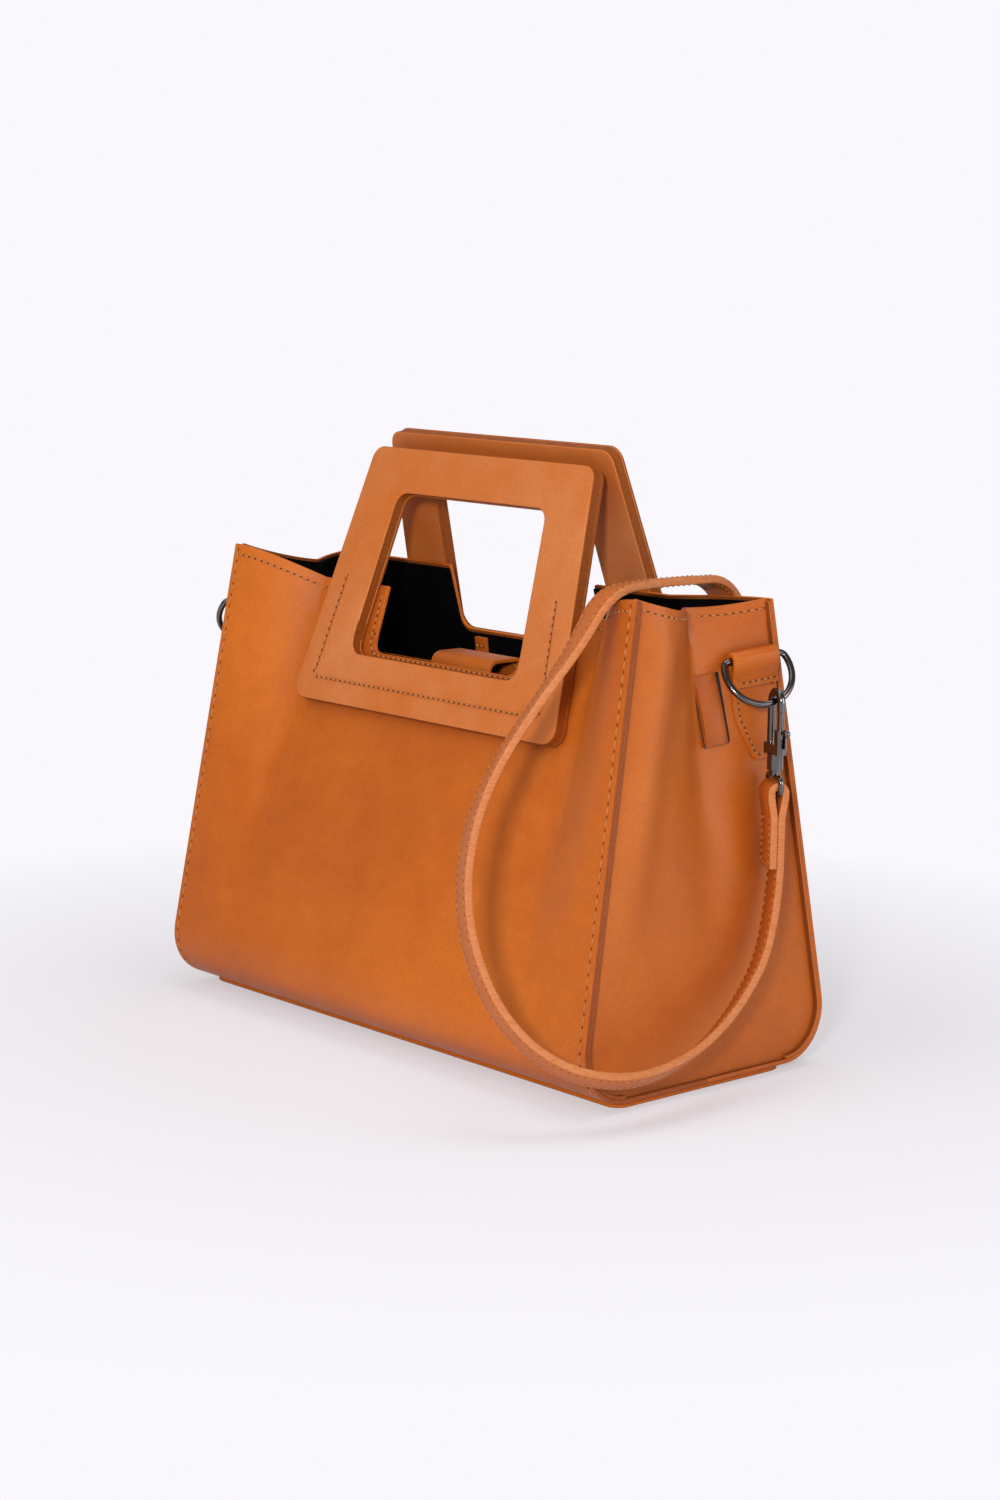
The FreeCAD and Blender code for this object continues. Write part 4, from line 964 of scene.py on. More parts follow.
def plated(name, tint, rough):
    """Polished plating with faint rubbing."""
    n = surface(name)
    rub = n.span(n.noise(260.0, 5.0, 0.7), 0.3, 0.75, 0.0, 1.0)
    worn = tuple(min(1.0, 1.5 * c + 0.02) for c in tint)
    colour_out = n.mix(n.maths("MULTIPLY", rub, 0.35), tint, worn)
    gloss = n.span(rub, 0.0, 1.0, rough, rough + 0.1)
    return n.finish(colour_out, gloss, Metallic=1.0)


def pressed_board(name, tint):
    """Stiff board of pressed fibres."""
    n = surface(name)
    fibres = n.noise(500.0, 5.0, 0.7, n.stretched(1.0, 0.4, 1.0))
    colour_out = n.mix(n.span(fibres, 0.3, 0.7, 0.0, 1.0), dim(tint, 0.6), tint)
    return n.finish(colour_out, 0.9, n.bump(fibres, 0.2, 0.0003))


def twisted_thread(name, tint):
    """Thread with its plies showing as slanting bands."""
    n = surface(name)
    wave = n.add("ShaderNodeTexWave", bands_direction="DIAGONAL")
    wave.inputs["Scale"].default_value = 900.0
    n.link(n.place, wave.inputs["Vector"])
    colour_out = n.mix(wave.outputs["Fac"], dim(tint, 0.6), tint)
    return n.finish(colour_out, 0.6, n.bump(wave.outputs["Fac"], 0.3, 0.0001))


def palette():
    """All materials by short name, made once."""
    looks = bpy.context.scene.bag_looks
    tan, deep, pale = tuple(looks.tan), tuple(looks.tan_deep), tuple(looks.tan_pale)
    strap, inside, metal = tuple(looks.strap), tuple(looks.inside), tuple(looks.metal)
    rough = looks.gloss
    made = {m.name: m for m in bpy.data.materials}
    if "tan_thread" in made:
        return made
    middle = tuple((a + b) / 2 for a, b in zip(tan, deep))
    flesh = dim(middle, 0.55)
    warm = tuple(a + 0.65 * (b - a) for a, b in zip(tan, pale))
    leather("bag_leather", tan, deep, rough)
    # Painted shade: the band is the bag's leather in its deep tones, darkened for the shade of the fold's
    # hollow where it sits.
    leather("band_leather", deep, dim(deep, 0.7), rough, 1.0, 30.0)
    leather("handle_leather", warm, middle, rough + 0.06, 0.9, 11.0)
    leather("strap_leather", strap, middle, rough + 0.06, 0.8, 16.0)
    leather("pouch_leather", tan, deep, rough + 0.05, 1.0, 14.0)
    raw_edge("tan_edge", tan, middle)
    raw_edge("seam_edge", tuple(looks.seam), dim(looks.seam, 0.65))
    raw_edge("handle_edge", dim(middle, 0.62), dim(middle, 0.4))
    raw_edge("strap_edge", pale, strap)
    leather("flesh_side", flesh, dim(flesh, 0.8), 0.8, 1.4, 20.0)
    # Dark cloth and painted shade: the lining and zip tape are nearly black to stand for the shade inside
    # the bag.
    cloth("dark_lining", inside)
    cloth("zip_tape", dim(inside, 1.5), 2400.0)
    plated("gunmetal", metal, 0.13)
    plated("spring_steel", tuple(min(1.0, 3 * c) for c in metal), 0.35)
    pressed_board("stiffening_board", (0.22, 0.14, 0.08))
    twisted_thread("tan_thread", tuple(looks.thread))
    # Painted shade of the stitch holes: flat discs coloured dark brown where the holes would be shaded.
    n = surface("prick")
    n.finish(n.mix(n.noise(900.0), dim(deep, 0.14), dim(deep, 0.32)), 0.9)
    # Painted shade: nearly black colour for the plates that stand for the band's slits.
    n = surface("slit_dark")
    n.finish(n.mix(n.noise(300.0), (0.004, 0.003, 0.002), (0.012, 0.008, 0.006)), 0.9)
    return {m.name: m for m in bpy.data.materials}


def fitted(piece, body, slot, *nodes):
    """A finished piece rides on its body and stands for its nodes."""
    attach(piece, body)
    if nodes:
        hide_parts(*nodes)
    return piece


# Operators


class BAG_OT_body(bpy.types.Operator):
    """Front, back, gussets, base and linings of the bag"""

    bl_idname = "bag.body"
    bl_label = "Body"

    def execute(self, context):
        shape = BodyShape(context.scene)
        looks = palette()
        b = shape.b
        skin = [looks["bag_leather"], looks["flesh_side"], looks["tan_edge"]]
        dark = [looks["dark_lining"]] * 3
        us = body_columns(shape)
        inner_us = [u for u in us if abs(u) < shape.lining_u]
        inner_us = [-shape.lining_u] + inner_us + [shape.lining_u]
        for name, side in (("front", FRONT), ("back", BACK)):
            panel = panel_sheet(shape, name + "_panel_leather", side, 0.0, b.leather, us, 0.0, skin)
            for face in panel.data.polygons:
                if face.material_index == 2 and abs(face.normal.x) > 0.7 and abs(face.center.x) > 0.13:
                    face.material_index = 3
            panel.data.materials.append(looks["seam_edge" if side == FRONT else "bag_leather"])
            fitted(soften(panel, 0.5, 3), "bag", "bag_leather", name + "_panel")
            cover = panel_sheet(shape, name + "_panel_lining", side, b.leather, b.lining, inner_us,
                                1.5, dark, True)
            fitted(cover, "bag", "dark_lining", name + "_lining")
        for name, side in (("right", RIGHT), ("left", LEFT)):
            gusset = gusset_sheet(shape, name + "_gusset_leather", side, 0.0, b.gusset_leather, skin)
            fitted(soften(gusset, 0.4), "bag", "bag_leather", name + "_gusset")
            cover = gusset_sheet(shape, name + "_gusset_cloth", side, b.gusset_leather, b.lining,
                                 dark, True)
            fitted(cover, "bag", "dark_lining", name + "_gusset_lining")
            for where, face in (("front", FRONT), ("back", BACK)):
                strip = seam_strip(shape, name + "_" + where + "_seam", face, side,
                                   skin[:2] + [looks["seam_edge" if face == FRONT else "bag_leather"]])
                fitted(soften(strip, 0.3), "bag", "bag_leather")
        half_w, half_d = b.plate_w / 2, b.plate_d / 2
        loop = rounded_loop(oblong(-half_w, half_w, -half_d, half_d), [b.plate_r] * 4)
        base = flat_plate("base_leather", loop, 0.0, b.base_t, skin)
        fitted(soften(base, 0.9, 3), "bag", "bag_leather", "base_panel")
        low, high = (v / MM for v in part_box("base_lining"))
        loop = rounded_loop(oblong(low.x, high.x, low.y, high.y), [2.0] * 4)
        fitted(flat_plate("floor_cloth", loop, low.z, high.z, dark), "bag", "dark_lining", "base_lining")
        board = frame["nodes"]["base_board"].data.materials
        board.clear()
        board.append(looks["stiffening_board"])
        self.sew(shape, in_mm(context.scene.bag_trim), looks)
        return {"FINISHED"}

    def sew(self, shape, trim, looks):
        """Stitching along seams, rims and the cut for the hand."""
        h = shape.h
        thread = Thread(trim.thread)
        full = shape.b.base_w / 2
        leg = (h.base_w / 2 - (h.base_w - h.top_w) / 2 * h.drop / h.height) / full + 0.02
        seam = [(1, share) for share in spaced(0.4, 1.0, 12)[:-1]]
        seam += [(2, share) for share in spaced(0.0, 0.985, 60)]
        for side in (FRONT, BACK):
            for end in (RIGHT, LEFT):
                u = end * (1 - trim.seam_inset / full)
                path = [shape.panel(side, u, zone, share, 0.0) for zone, share in seam]
                out = [shape.out(side, u, share if zone == 1 else 1.0) for zone, share in seam]
                thread.line(path, out, trim.seam_pitch)
                reach = [end * v for v in spaced(leg, 0.975, 30)]
                path = []
                for v in reach:
                    rim = 1 - trim.hem_inset / shape.lean_length(side, v)
                    path.append(shape.panel(side, v, 2, rim, 0.0))
                thread.line(path, [shape.out(side, v) for v in reach], trim.hem_pitch)
            half = h.grip_base_w / 2 - h.cut_inset + 2.8
            low = h.grip_low + h.cut_lift - 1.5
            r = h.cut_r + 2.0
            place = shape.handle_place(side)
            route = mirrored(arc((half - r, low + r), r, -90, 0, 8) + [(half, h.drop - 4.0)])
            path = [place @ Vector((x, y, 0.05)) for x, y in route]
            thread.line(path, [place.to_3x3().col[2]] * len(path), trim.hem_pitch)
        for side in (RIGHT, LEFT):
            path, out = [], []
            for share in spaced(0.03, 0.97, 60):
                at, near = (shape.gusset(share + step, 2, 0.979, 0.0, *shape.corner_heights(side))
                            for step in (0.0, 0.01))
                path.append(turn(at, side))
                out.append(turn((near - at).cross(Vector((0, 0, 1))).normalized(), side))
            thread.line(path, out, trim.hem_pitch)
        fitted(thread.made("body_stitches", looks), "bag", "bag_leather")


class BAG_OT_handles(bpy.types.Operator):
    """The two handles, each of three layers sewn together"""

    bl_idname = "bag.handles"
    bl_label = "Handles"

    def execute(self, context):
        shape = BodyShape(context.scene)
        trim = in_mm(context.scene.bag_trim)
        looks = palette()
        h = shape.h
        skin = [looks["handle_leather"], looks["handle_leather"], looks["handle_edge"]]
        board = [looks["handle_edge"]] * 3
        thread = Thread(trim.thread)
        for name, side in (("front", FRONT), ("back", BACK)):
            place = shape.handle_place(side)
            for layer, low, high, inset, crown in (
                    ("backing", 0.0, h.skin, 0.0, 0.0),
                    ("core", h.skin, h.skin + h.core, h.core_inset, 0.0),
                    ("facing", h.skin + h.core, 2 * h.skin + h.core, 0.0, h.crown)):
                outside, inside = self.outlines(h, inset)
                plate = framed_plate(name + "_" + layer, outside, inside, low, high, crown,
                                     board if layer == "core" else skin, place)
                soften(plate, 0.7 if layer != "core" else 0.2, 3)
                slot = "stiffening_board" if layer == "core" else "handle_leather"
                fitted(plate, "bag", slot, name + "_handle_" + layer)
            top = 2 * h.skin + h.core
            slope = (h.base_w - h.top_w) / 2 / h.height
            up, r, lift = h.sewing_up, h.sewing_r, 0.35
            foot = h.base_w / 2 - h.sewing_aside
            route = arc((foot - r, up + r), r, -90, 0, 6)
            route += [(foot - slope * (y - up), y) for y in (18, 24, 32, 40, 48, 56, 63)]
            path = [place @ Vector((x, y, top + lift)) for x, y in mirrored(route)]
            thread.line(path, [place.to_3x3().col[2]] * len(path), trim.hem_pitch)
        fitted(thread.made("handle_stitches", looks), "bag", "handle_leather")
        return {"FINISHED"}

    def outlines(self, h, inset):
        """Outer edge and hand opening of one layer, drawn in from the handle's own."""
        foot, top = h.base_w / 2 - inset, h.top_w / 2 - inset
        outside = [(-foot, inset), (foot, inset), (top, h.height - inset), (-top, h.height - inset)]
        foot, top = h.grip_base_w / 2 + inset, h.grip_top_w / 2 + inset
        inside = [(-foot, h.grip_low - inset), (foot, h.grip_low - inset),
                  (top, h.grip_high + inset), (-top, h.grip_high + inset)]
        return rounded_loop(outside, [h.corner_r] * 4), rounded_loop(inside, [h.grip_r] * 4)


def strip_outline(width, thickness, rounding=0.5):
    """Section of a strap with softened corners, as pairs of side and height."""
    w, t, r = width / 2, thickness / 2, rounding
    return [(-w + r, -t), (w - r, -t), (w - 0.3 * r, -t + 0.3 * r), (w, -t + r),
            (w, t - r), (w - 0.3 * r, t - 0.3 * r), (w - r, t), (-w + r, t),
            (-w + 0.3 * r, t - 0.3 * r), (-w, t - r), (-w, -t + r), (-w + 0.3 * r, -t + 0.3 * r)]


def strip_edge(k):
    """Which faces of that section are its cut edges."""
    return k not in (0, 6)


class BAG_OT_sides(bpy.types.Operator):
    """Ring tabs and cinch bands on the gussets"""

    bl_idname = "bag.sides"
    bl_label = "Ring tabs and bands"

    tab_y: length("Tab place", "Ring tab's middle, behind the bag's middle", 32.0)
    tab_h: length("Tab height", "Height of the ring's bar", 188.5)
    tab_lean: angle("Tab lean", "Lean of the tongue along the back seam", 7.0)
    band_y: length("Band place", "Cinch band's middle, behind the bag's middle", 12.0)
    band_h: length("Band height", "Height of the cinch band's middle", 166.0)

    def execute(self, context):
        shape = BodyShape(context.scene)
        trim = in_mm(context.scene.bag_trim)
        looks = palette()
        for name, side in (("right", RIGHT), ("left", LEFT)):
            self.tab(shape, trim, looks, name, side)
            self.band(shape, trim, looks, name, side)
        return {"FINISHED"}

    def tab(self, shape, trim, looks, name, side):
        """A tongue sewn flat, whose upper end is rolled round the ring's bar."""
        own = in_mm(self.properties)
        t, tail = trim.tab_t, trim.tab_tail
        fall, drift = math.cos(own.tab_lean), math.sin(own.tab_lean)
        root = shape.slant(own.tab_y, own.tab_h)
        tip = shape.slant(own.tab_y + tail * drift, own.tab_h - tail * fall)
        place = seated(root, root * 2 - tip, shape.slant(own.tab_y + fall, own.tab_h + drift))
        out, across, _ = place.to_3x3().col
        half, point, bend = trim.tab_w / 2, 3.6, 0.58 * tail
        corners = [(-half, -3.0), (-half, -bend), (-point, -tail)]
        corners += [(-x, y) for x, y in reversed(corners)]
        radii = [0.3, tail / 3.2, 3.0, 3.0, tail / 3.2, 0.3]
        loop = rounded_loop(corners, radii, 8, 6)
        skin = [looks["bag_leather"], looks["flesh_side"], looks["tan_edge"]]
        top, low = (turned([place @ Vector((x, p.x, p.y)) for p in loop], side) for x in (t, -0.5))
        tongue = plate_between(name + "_tab_tongue", top, low, skin)
        fitted(soften(tongue, 0.5), "bag", "bag_leather", name + "_ring_tab")
        reach, centre = 1.85 + t / 2, 4.55
        route = [(t / 2 - 0.2, -9.0), (t / 2, -4.0)] + arc((centre, 0.0), reach, 180, 0, 14)
        route += [(centre + reach * 0.86, -2.6), (centre + 0.9, -5.4), (t * 1.5, -8.2), (t * 1.5, -12.5)]
        path = turned([place @ Vector((x, 0, z)) for x, z in route], side)
        roll = ribbon(name + "_tab_roll", path, [turn(across, side)] * len(path),
                      strip_outline(trim.tab_w, t - 0.1, 0.4), [skin[0], skin[2]], strip_edge)
        fitted(roll, "bag", "bag_leather")
        thread = Thread(trim.thread)
        inner = rounded_loop([(x * 0.8, y * 0.93 - 0.6) for x, y in corners], radii, 8, 6)
        sewn = [place @ Vector((t + 0.02, p.x, p.y)) for p in inner if p.y < -13.0]
        cross = [place @ Vector((t * 2 + 0.05, y, -10.4)) for y in (-9.0, 0.0, 9.0)]
        for line in (sewn, cross):
            thread.line(turned(line, side), [turn(out, side)] * len(line), trim.fine_pitch)
        fitted(thread.made(name + "_tab_stitches", looks), "bag", "bag_leather")

    def band(self, shape, trim, looks, name, side):
        """A short band through two slits, gaping a little at its back edge; the slits are thin dark plates,
        painted shade of the gaps under the band.
        """
        own = in_mm(self.properties)
        root = shape.slant(own.band_y, own.band_h)
        place = seated(root, shape.slant(own.band_y - 1.7, own.band_h + 15.0),
                       shape.slant(own.band_y + 5.0, own.band_h + 0.55))
        half_w, half_h = trim.band_w / 2, trim.band_h / 2
        skin = [looks["band_leather"], looks["flesh_side"], looks["tan_edge"]]
        columns = [(-half_w - 0.7, -1.6), (-half_w, -0.2), (-half_w + 0.9, 0.9), (-half_w * 0.5, 1.5),
                   (0.0, 1.8), (half_w * 0.5, 2.0), (half_w - 0.8, 1.9), (half_w, 1.2), (half_w + 0.3, -1.6)]
        sheets = ([], [])
        levels = spaced(-half_h, half_h, 10)
        for z in levels:
            bow = 0.5 * math.cos(math.pi * z / (2 * half_h))
            for y, lift in columns:
                level = lift + bow if lift > 0 else lift
                for sheet, depth in zip(sheets, (0.0, 1.3)):
                    sheet.append(turn(place @ Vector((level - depth, y, z)), side))
        strip = thickened(name + "_band", *sheets, grid(len(levels), len(columns)), skin)
        fitted(soften(strip, 0.3), "bag", "bag_leather", name + "_cinch_band")
        # The slits are drawn as thin near-black plates on the gusset: painted shade of the gaps where the
        # band passes under the leather.
        for where, y, wide in (("front", -half_w - 0.5, 0.35), ("back", half_w + 0.95, 2.0)):
            corners = oblong(y - wide / 2, y + wide / 2, -half_h - 0.4, half_h + 0.2)
            loop = rounded_loop(corners, [wide * 0.45] * 4, 4, 10)
            top = [place @ Vector((self.rise(shape, place, p), p.x, p.y)) for p in loop]
            low = [p - place.to_3x3() @ Vector((0.3, 0, 0)) for p in top]
            slit = plate_between(name + "_" + where + "_slit", turned(top, side), turned(low, side),
                                 [looks["slit_dark"]] * 3)
            fitted(slit, "bag", "bag_leather")

    def rise(self, shape, place, point):
        """Level of the gusset's leather over the band's flat seat."""
        at = place @ Vector((0, point.x, point.y))
        lift = shape.gusset_x(at.z) + shape.fold(at.y, at.z) - at.x
        return lift * place.to_3x3().col[0].x + 0.18


# Strap


# Where the right hook's eye hangs, its two level directions and its bar below it; then the points that the
# strap's line bends past on its way to the left eye, which is the right one turned half round.
EYE_AT = Vector((153.692, 32.365, 147.634))
EYE_X = Vector((0.877976, -0.478705, 0.0))
EYE_Y = Vector((0.478705, 0.877976, 0.0))
EYE_BAR = -16.7
ROUTE = [
    (158.5, 27.0, 65.0), (163.0, 5.0, 42.0), (167.0, -20.0, 28.0), (170.0, -48.0, 21.0),
    (168.5, -76.0, 21.0), (156.0, -99.0, 29.0), (140.0, -113.0, 47.0), (126.0, -118.0, 72.0),
    (117.0, -116.5, 98.0), (111.5, -107.0, 126.0), (110.0, -92.0, 150.0), (112.5, -72.0, 174.0),
    (117.0, -54.0, 197.0), (120.8, -41.2, 220.6), (122.0, -17.0, 222.5), (120.5, 6.0, 222.0),
    (117.0, 28.6, 221.4), (112.0, 47.0, 206.2), (105.0, 61.0, 183.0), (95.0, 77.0, 156.0),
    (81.0, 91.0, 128.0), (63.0, 101.0, 100.0), (40.0, 107.0, 75.0), (13.0, 110.0, 54.0),
    (-17.0, 111.0, 39.0), (-48.0, 110.0, 29.5), (-79.0, 107.0, 25.0), (-110.0, 102.0, 24.0),
    (-139.0, 93.0, 25.0), (-161.0, 74.0, 27.0), (-172.5, 48.0, 31.0), (-173.5, 20.0, 39.0),
    (-167.0, -8.0, 52.0), (-160.5, -28.0, 70.0),
]


class BAG_OT_strap(bpy.types.Operator):
    """The shoulder strap and its two sewn ends"""

    bl_idname = "bag.strap"
    bl_label = "Shoulder strap"

    hook_run: length("Hook run", "Length that swings with a hook", 110.0)
    ring_run: length("Ring run", "Length that swings with a ring", 340.0)

    def execute(self, context):
        trim = in_mm(context.scene.bag_trim)
        looks = palette()
        skin = [looks["strap_leather"], looks["strap_edge"]]
        for name, side in (("right", RIGHT), ("left", LEFT)):
            self.folded_end(trim, looks, skin, name, side)
        path = self.centre_line(trim)
        across = self.widths(path)
        runs = lengths_along(path)
        own, whole = in_mm(self.properties), runs[-1]
        cuts = (0.0, own.hook_run, own.ring_run, whole - own.ring_run, whole - own.hook_run, whole)
        stops = [min(range(len(path)), key=lambda i: abs(runs[i] - cut)) for cut in cuts]
        spans = (("strap_right_hook_run", "right_hook", "right_ring"),
                 ("strap_right_ring_run", "right_ring", "bag"),
                 ("strap_band", "bag", "bag"),
                 ("strap_left_ring_run", "bag", "left_ring"),
                 ("strap_left_hook_run", "left_ring", "left_hook"))
        for k, (name, first, last) in enumerate(spans):
            part = slice(stops[k], stops[k + 1] + 1)
            self.stretch(name, path[part], across[part], (first, last), trim, looks, skin)
        return {"FINISHED"}

    def stretch(self, name, path, across, bodies, trim, looks, skin):
        """One length of the strap with its stitches; a length between two bodies is baked in place and rides
        on neither.
        """
        strip = ribbon(name, path, across, strip_outline(trim.strap_w, trim.strap_t, 0.7), skin, strip_edge)
        thread = Thread(trim.strap_thread)
        for lift in (trim.strap_t / 2, -trim.strap_t / 2):
            thread.edges(path, across, trim.strap_w / 2 - trim.strap_inset, lift, trim.hem_pitch)
        sewing = thread.made(name + "_stitches", looks)
        first, last = bodies
        for piece in (strip, sewing):
            if first == last:
                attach(piece, first)
            else:
                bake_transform(piece)
        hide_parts("shoulder_strap")

    def centre_line(self, trim):
        """Points read from one smooth curve through the strap's route."""
        start = EYE_AT + EYE_Y * (trim.strap_t / 2) + Vector((0, 0, EYE_BAR - trim.strap_fold))
        knots = [start] + [Vector(p) for p in ROUTE] + [turn(start, LEFT)]
        curve = bpy.data.curves.new("strap_route", "CURVE")
        curve.dimensions = "3D"
        curve.resolution_u = 8
        spline = curve.splines.new("NURBS")
        spline.points.add(len(knots) - 1)
        for point, knot in zip(spline.points, knots):
            point.co = (*(knot * MM), 1.0)
        spline.order_u = 3
        spline.use_endpoint_u = True
        carrier = bpy.data.objects.new("strap_route", curve)
        bpy.context.scene.collection.objects.link(carrier)
        bpy.context.view_layer.update()
        mesh = bpy.data.meshes.new_from_object(carrier)
        path = [v.co / MM for v in mesh.vertices]
        bpy.data.meshes.remove(mesh)
        bpy.data.objects.remove(carrier)
        bpy.data.curves.remove(curve)
        if (path[0] - start).length > (path[-1] - start).length:
            path.reverse()
        return path

    def widths(self, path):
        """Width direction along the strap, which turns over behind the bag."""
        count = len(path)
        tangents = [heading(path, i) for i in range(count)]
        runs = lengths_along(path)
        across = [EYE_X]
        for i in range(1, count):
            carried = tangents[i - 1].rotation_difference(tangents[i]) @ across[-1]
            across.append((carried - tangents[i] * carried.dot(tangents[i])).normalized())
        target = -EYE_X
        target = (target - tangents[-1] * target.dot(tangents[-1])).normalized()
        missing = math.atan2(across[-1].cross(target).dot(tangents[-1]), across[-1].dot(target))
        turned_over = []
        for i in range(count):
            share = runs[i] / runs[-1]
            loop = smooth(share, 0.11, 0.19) - smooth(share, 0.34, 0.40)
            twist = missing * smooth(share, 0.50, 0.90) - math.radians(18.0) * loop
            turned_over.append(Quaternion(tangents[i], twist) @ across[i])
        return turned_over

    def folded_end(self, trim, looks, skin, name, side):
        """The strap folded round the eye's bar and sewn back on itself."""
        t = trim.strap_t
        low, neck = EYE_BAR - trim.strap_fold, EYE_BAR - 11.0
        reach = 1.5 + t / 2
        leg = [(t / 2, low + 12.0), (t / 2, neck), (t / 2 + 0.4, neck + 2.5), (reach, EYE_BAR - 2.0)]
        route = [(-t / 2, low + 1.5)] + [(-y, z) for y, z in leg]
        route += arc((0.0, EYE_BAR), reach, 180, 0, 16)
        route += leg[::-1] + [(t / 2, low)]
        path = turned([EYE_AT + EYE_Y * y + Vector((0, 0, z)) for y, z in route], side)
        end = ribbon(name + "_strap_fold", path, [turn(EYE_X, side)] * len(path),
                     strip_outline(trim.strap_w, t - 0.1, 0.6), skin, strip_edge)
        fitted(end, name + "_eye", "strap_leather", name + "_strap_end")
        thread = Thread(trim.strap_thread)
        wide, foot = trim.strap_w / 2 - trim.strap_inset, low + 3.0
        lines = [[(-wide, foot), (-wide, neck)], [(wide, foot), (wide, neck)],
                 [(-wide, foot), (wide, foot)], [(-wide, neck - 1.0), (wide, neck - 1.0)]]
        for out in (EYE_Y, -EYE_Y):
            for line in lines:
                sewn = [EYE_AT + EYE_X * x + out * (t - 0.05) + Vector((0, 0, z)) for x, z in line]
                thread.line(turned(sewn, side), [turn(out, side)] * 2, trim.fine_pitch)
        fitted(thread.made(name + "_end_stitches", looks), name + "_eye", "strap_leather")


class BAG_OT_inside(bpy.types.Operator):
    """Zip pouch, closing tab and key leash inside the bag"""

    bl_idname = "bag.inside"
    bl_label = "Inside"

    def execute(self, context):
        trim = in_mm(context.scene.bag_trim)
        looks = palette()
        skin = [looks["pouch_leather"], looks["dark_lining"], looks["tan_edge"]]
        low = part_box("pouch_front")[0] / MM
        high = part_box("pouch_back")[1] / MM
        top_low, top_high = (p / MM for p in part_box("zip_tapes"))
        middle = (top_low.y + top_high.y) / 2
        thread = Thread(trim.thread)
        for name, side in (("pouch_front", FRONT), ("pouch_back", BACK)):
            self.half(name, side, low, high, middle, skin, trim, thread)
        fitted(thread.made("pouch_stitches", looks), "bag", "pouch_leather")
        tapes = [looks["zip_tape"]] * 3
        for name, side in (("front", FRONT), ("back", BACK)):
            edge = top_low.y if side == FRONT else top_high.y
            inner = middle + side * 4.7
            corners = oblong(top_low.x, top_high.x, min(edge, inner), max(edge, inner))
            tape = flat_plate(name + "_zip_tape", rounded_loop(corners, [0.2] * 4, 2, 40),
                              top_low.z, top_high.z, tapes)
            fitted(tape, "bag", "zip_tape", *(("zip_tapes",) if side == FRONT else ()))
        self.tab(trim, looks, skin)
        self.leash(trim, looks)
        return {"FINISHED"}

    def half(self, name, side, low, high, middle, skin, trim, thread):
        """One half of the pouch, an open trough with soft corners and a swollen face."""
        half_w = (high.x - low.x) / 2
        rows, steps, r_corner, leather_t = 25, 30, 4.0, 1.5
        deep_low, deep_high = 10.0, 6.75
        flat = half_w - r_corner
        sheets = ([], [])
        face_line = []
        for r in range(rows):
            share = r / (rows - 1)
            z = low.z + (high.z - low.z) * share
            deep = deep_low + (deep_high - deep_low) * share
            route = [(half_w, 0.0), (half_w, deep - r_corner)]
            route += arc((flat, deep - r_corner), r_corner, 0, 90, 5)[1:]
            route += [(x, deep) for x in spaced(flat, -flat, steps)[1:-1]]
            route += [(-x, y) for x, y in reversed(route[:7])]
            for x, y in route:
                swell = 0.8 * math.sin(math.pi * share) * math.cos(math.pi * x / (2 * half_w))
                swell += 0.25 * math.sin(x / 9 + z / 13) * math.sin(math.pi * share)
                for sheet, wall in zip(sheets, (0.0, leather_t)):
                    shrink = (half_w - wall) / half_w
                    reach = max(0.0, y - wall) + (swell if y > 3 else 0.0)
                    sheet.append(Vector((x * shrink, middle + side * reach, z)))
            if r == rows - 2:
                face_line = [Vector((x, middle + side * (y + 0.02), z + 2.0))
                             for x, y in route if y >= deep - 0.1]
        columns = len(sheets[0]) // rows
        pouch = thickened(name + "_leather", *sheets, grid(rows, columns, side == FRONT), skin)
        fitted(soften(pouch, 0.4), "bag", "pouch_leather", name)
        thread.line(face_line, [Vector((0, side, 0))] * len(face_line), trim.hem_pitch)

    def tab(self, trim, looks, skin):
        """The closing tab: sewn to the pouch's back, over the zip, held in front by a snap."""
        faces = [skin[0], looks["tan_edge"]]
        low, high = (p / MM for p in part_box("closing_tab_root"))
        width = high.x - low.x
        t = 1.9
        y0, y1 = high.y - t / 2, 2.75 - t / 2
        route = [(y0, low.z), (y0 - 0.2, low.z + 8.0), (y1 + 0.2, high.z - 8.0), (y1, high.z)]
        self.strip("closing_tab_seat", route, width, t, faces, "bag", "closing_tab_root", trim, looks)
        low, high = (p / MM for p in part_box("closing_tab"))
        top, front = high.z - t / 2, low.y + t / 2
        r = 5.0
        route = [(high.y - t / 2, high.z - t), (high.y - 1.6, top - 0.25), (high.y - 3.4, top)]
        route += [(front + r + 4.0, top)] + arc((front + r, top - r), r, 90, 180, 8)
        route += [(front, top - r - 3.0), (front, low.z)]
        self.strip("closing_tab_flap", route, width, t, faces, "closing_tab", "closing_tab", trim, looks)

    def strip(self, name, route, width, t, faces, body, node, trim, looks):
        """A strip across the bag's middle along a route of Y and Z, sewn along its edges."""
        path = [Vector((0, y, z)) for y, z in route]
        across = [Vector((-1, 0, 0))] * len(path)
        piece = ribbon(name, path, across, strip_outline(width, t, 0.4), faces, strip_edge)
        fitted(piece, body, "pouch_leather", node)
        thread = Thread(trim.thread)
        thread.edges(path, across, width / 2 - trim.flap_inset, t / 2, trim.hem_pitch)
        fitted(thread.made(name + "_stitches", looks), body, "pouch_leather")

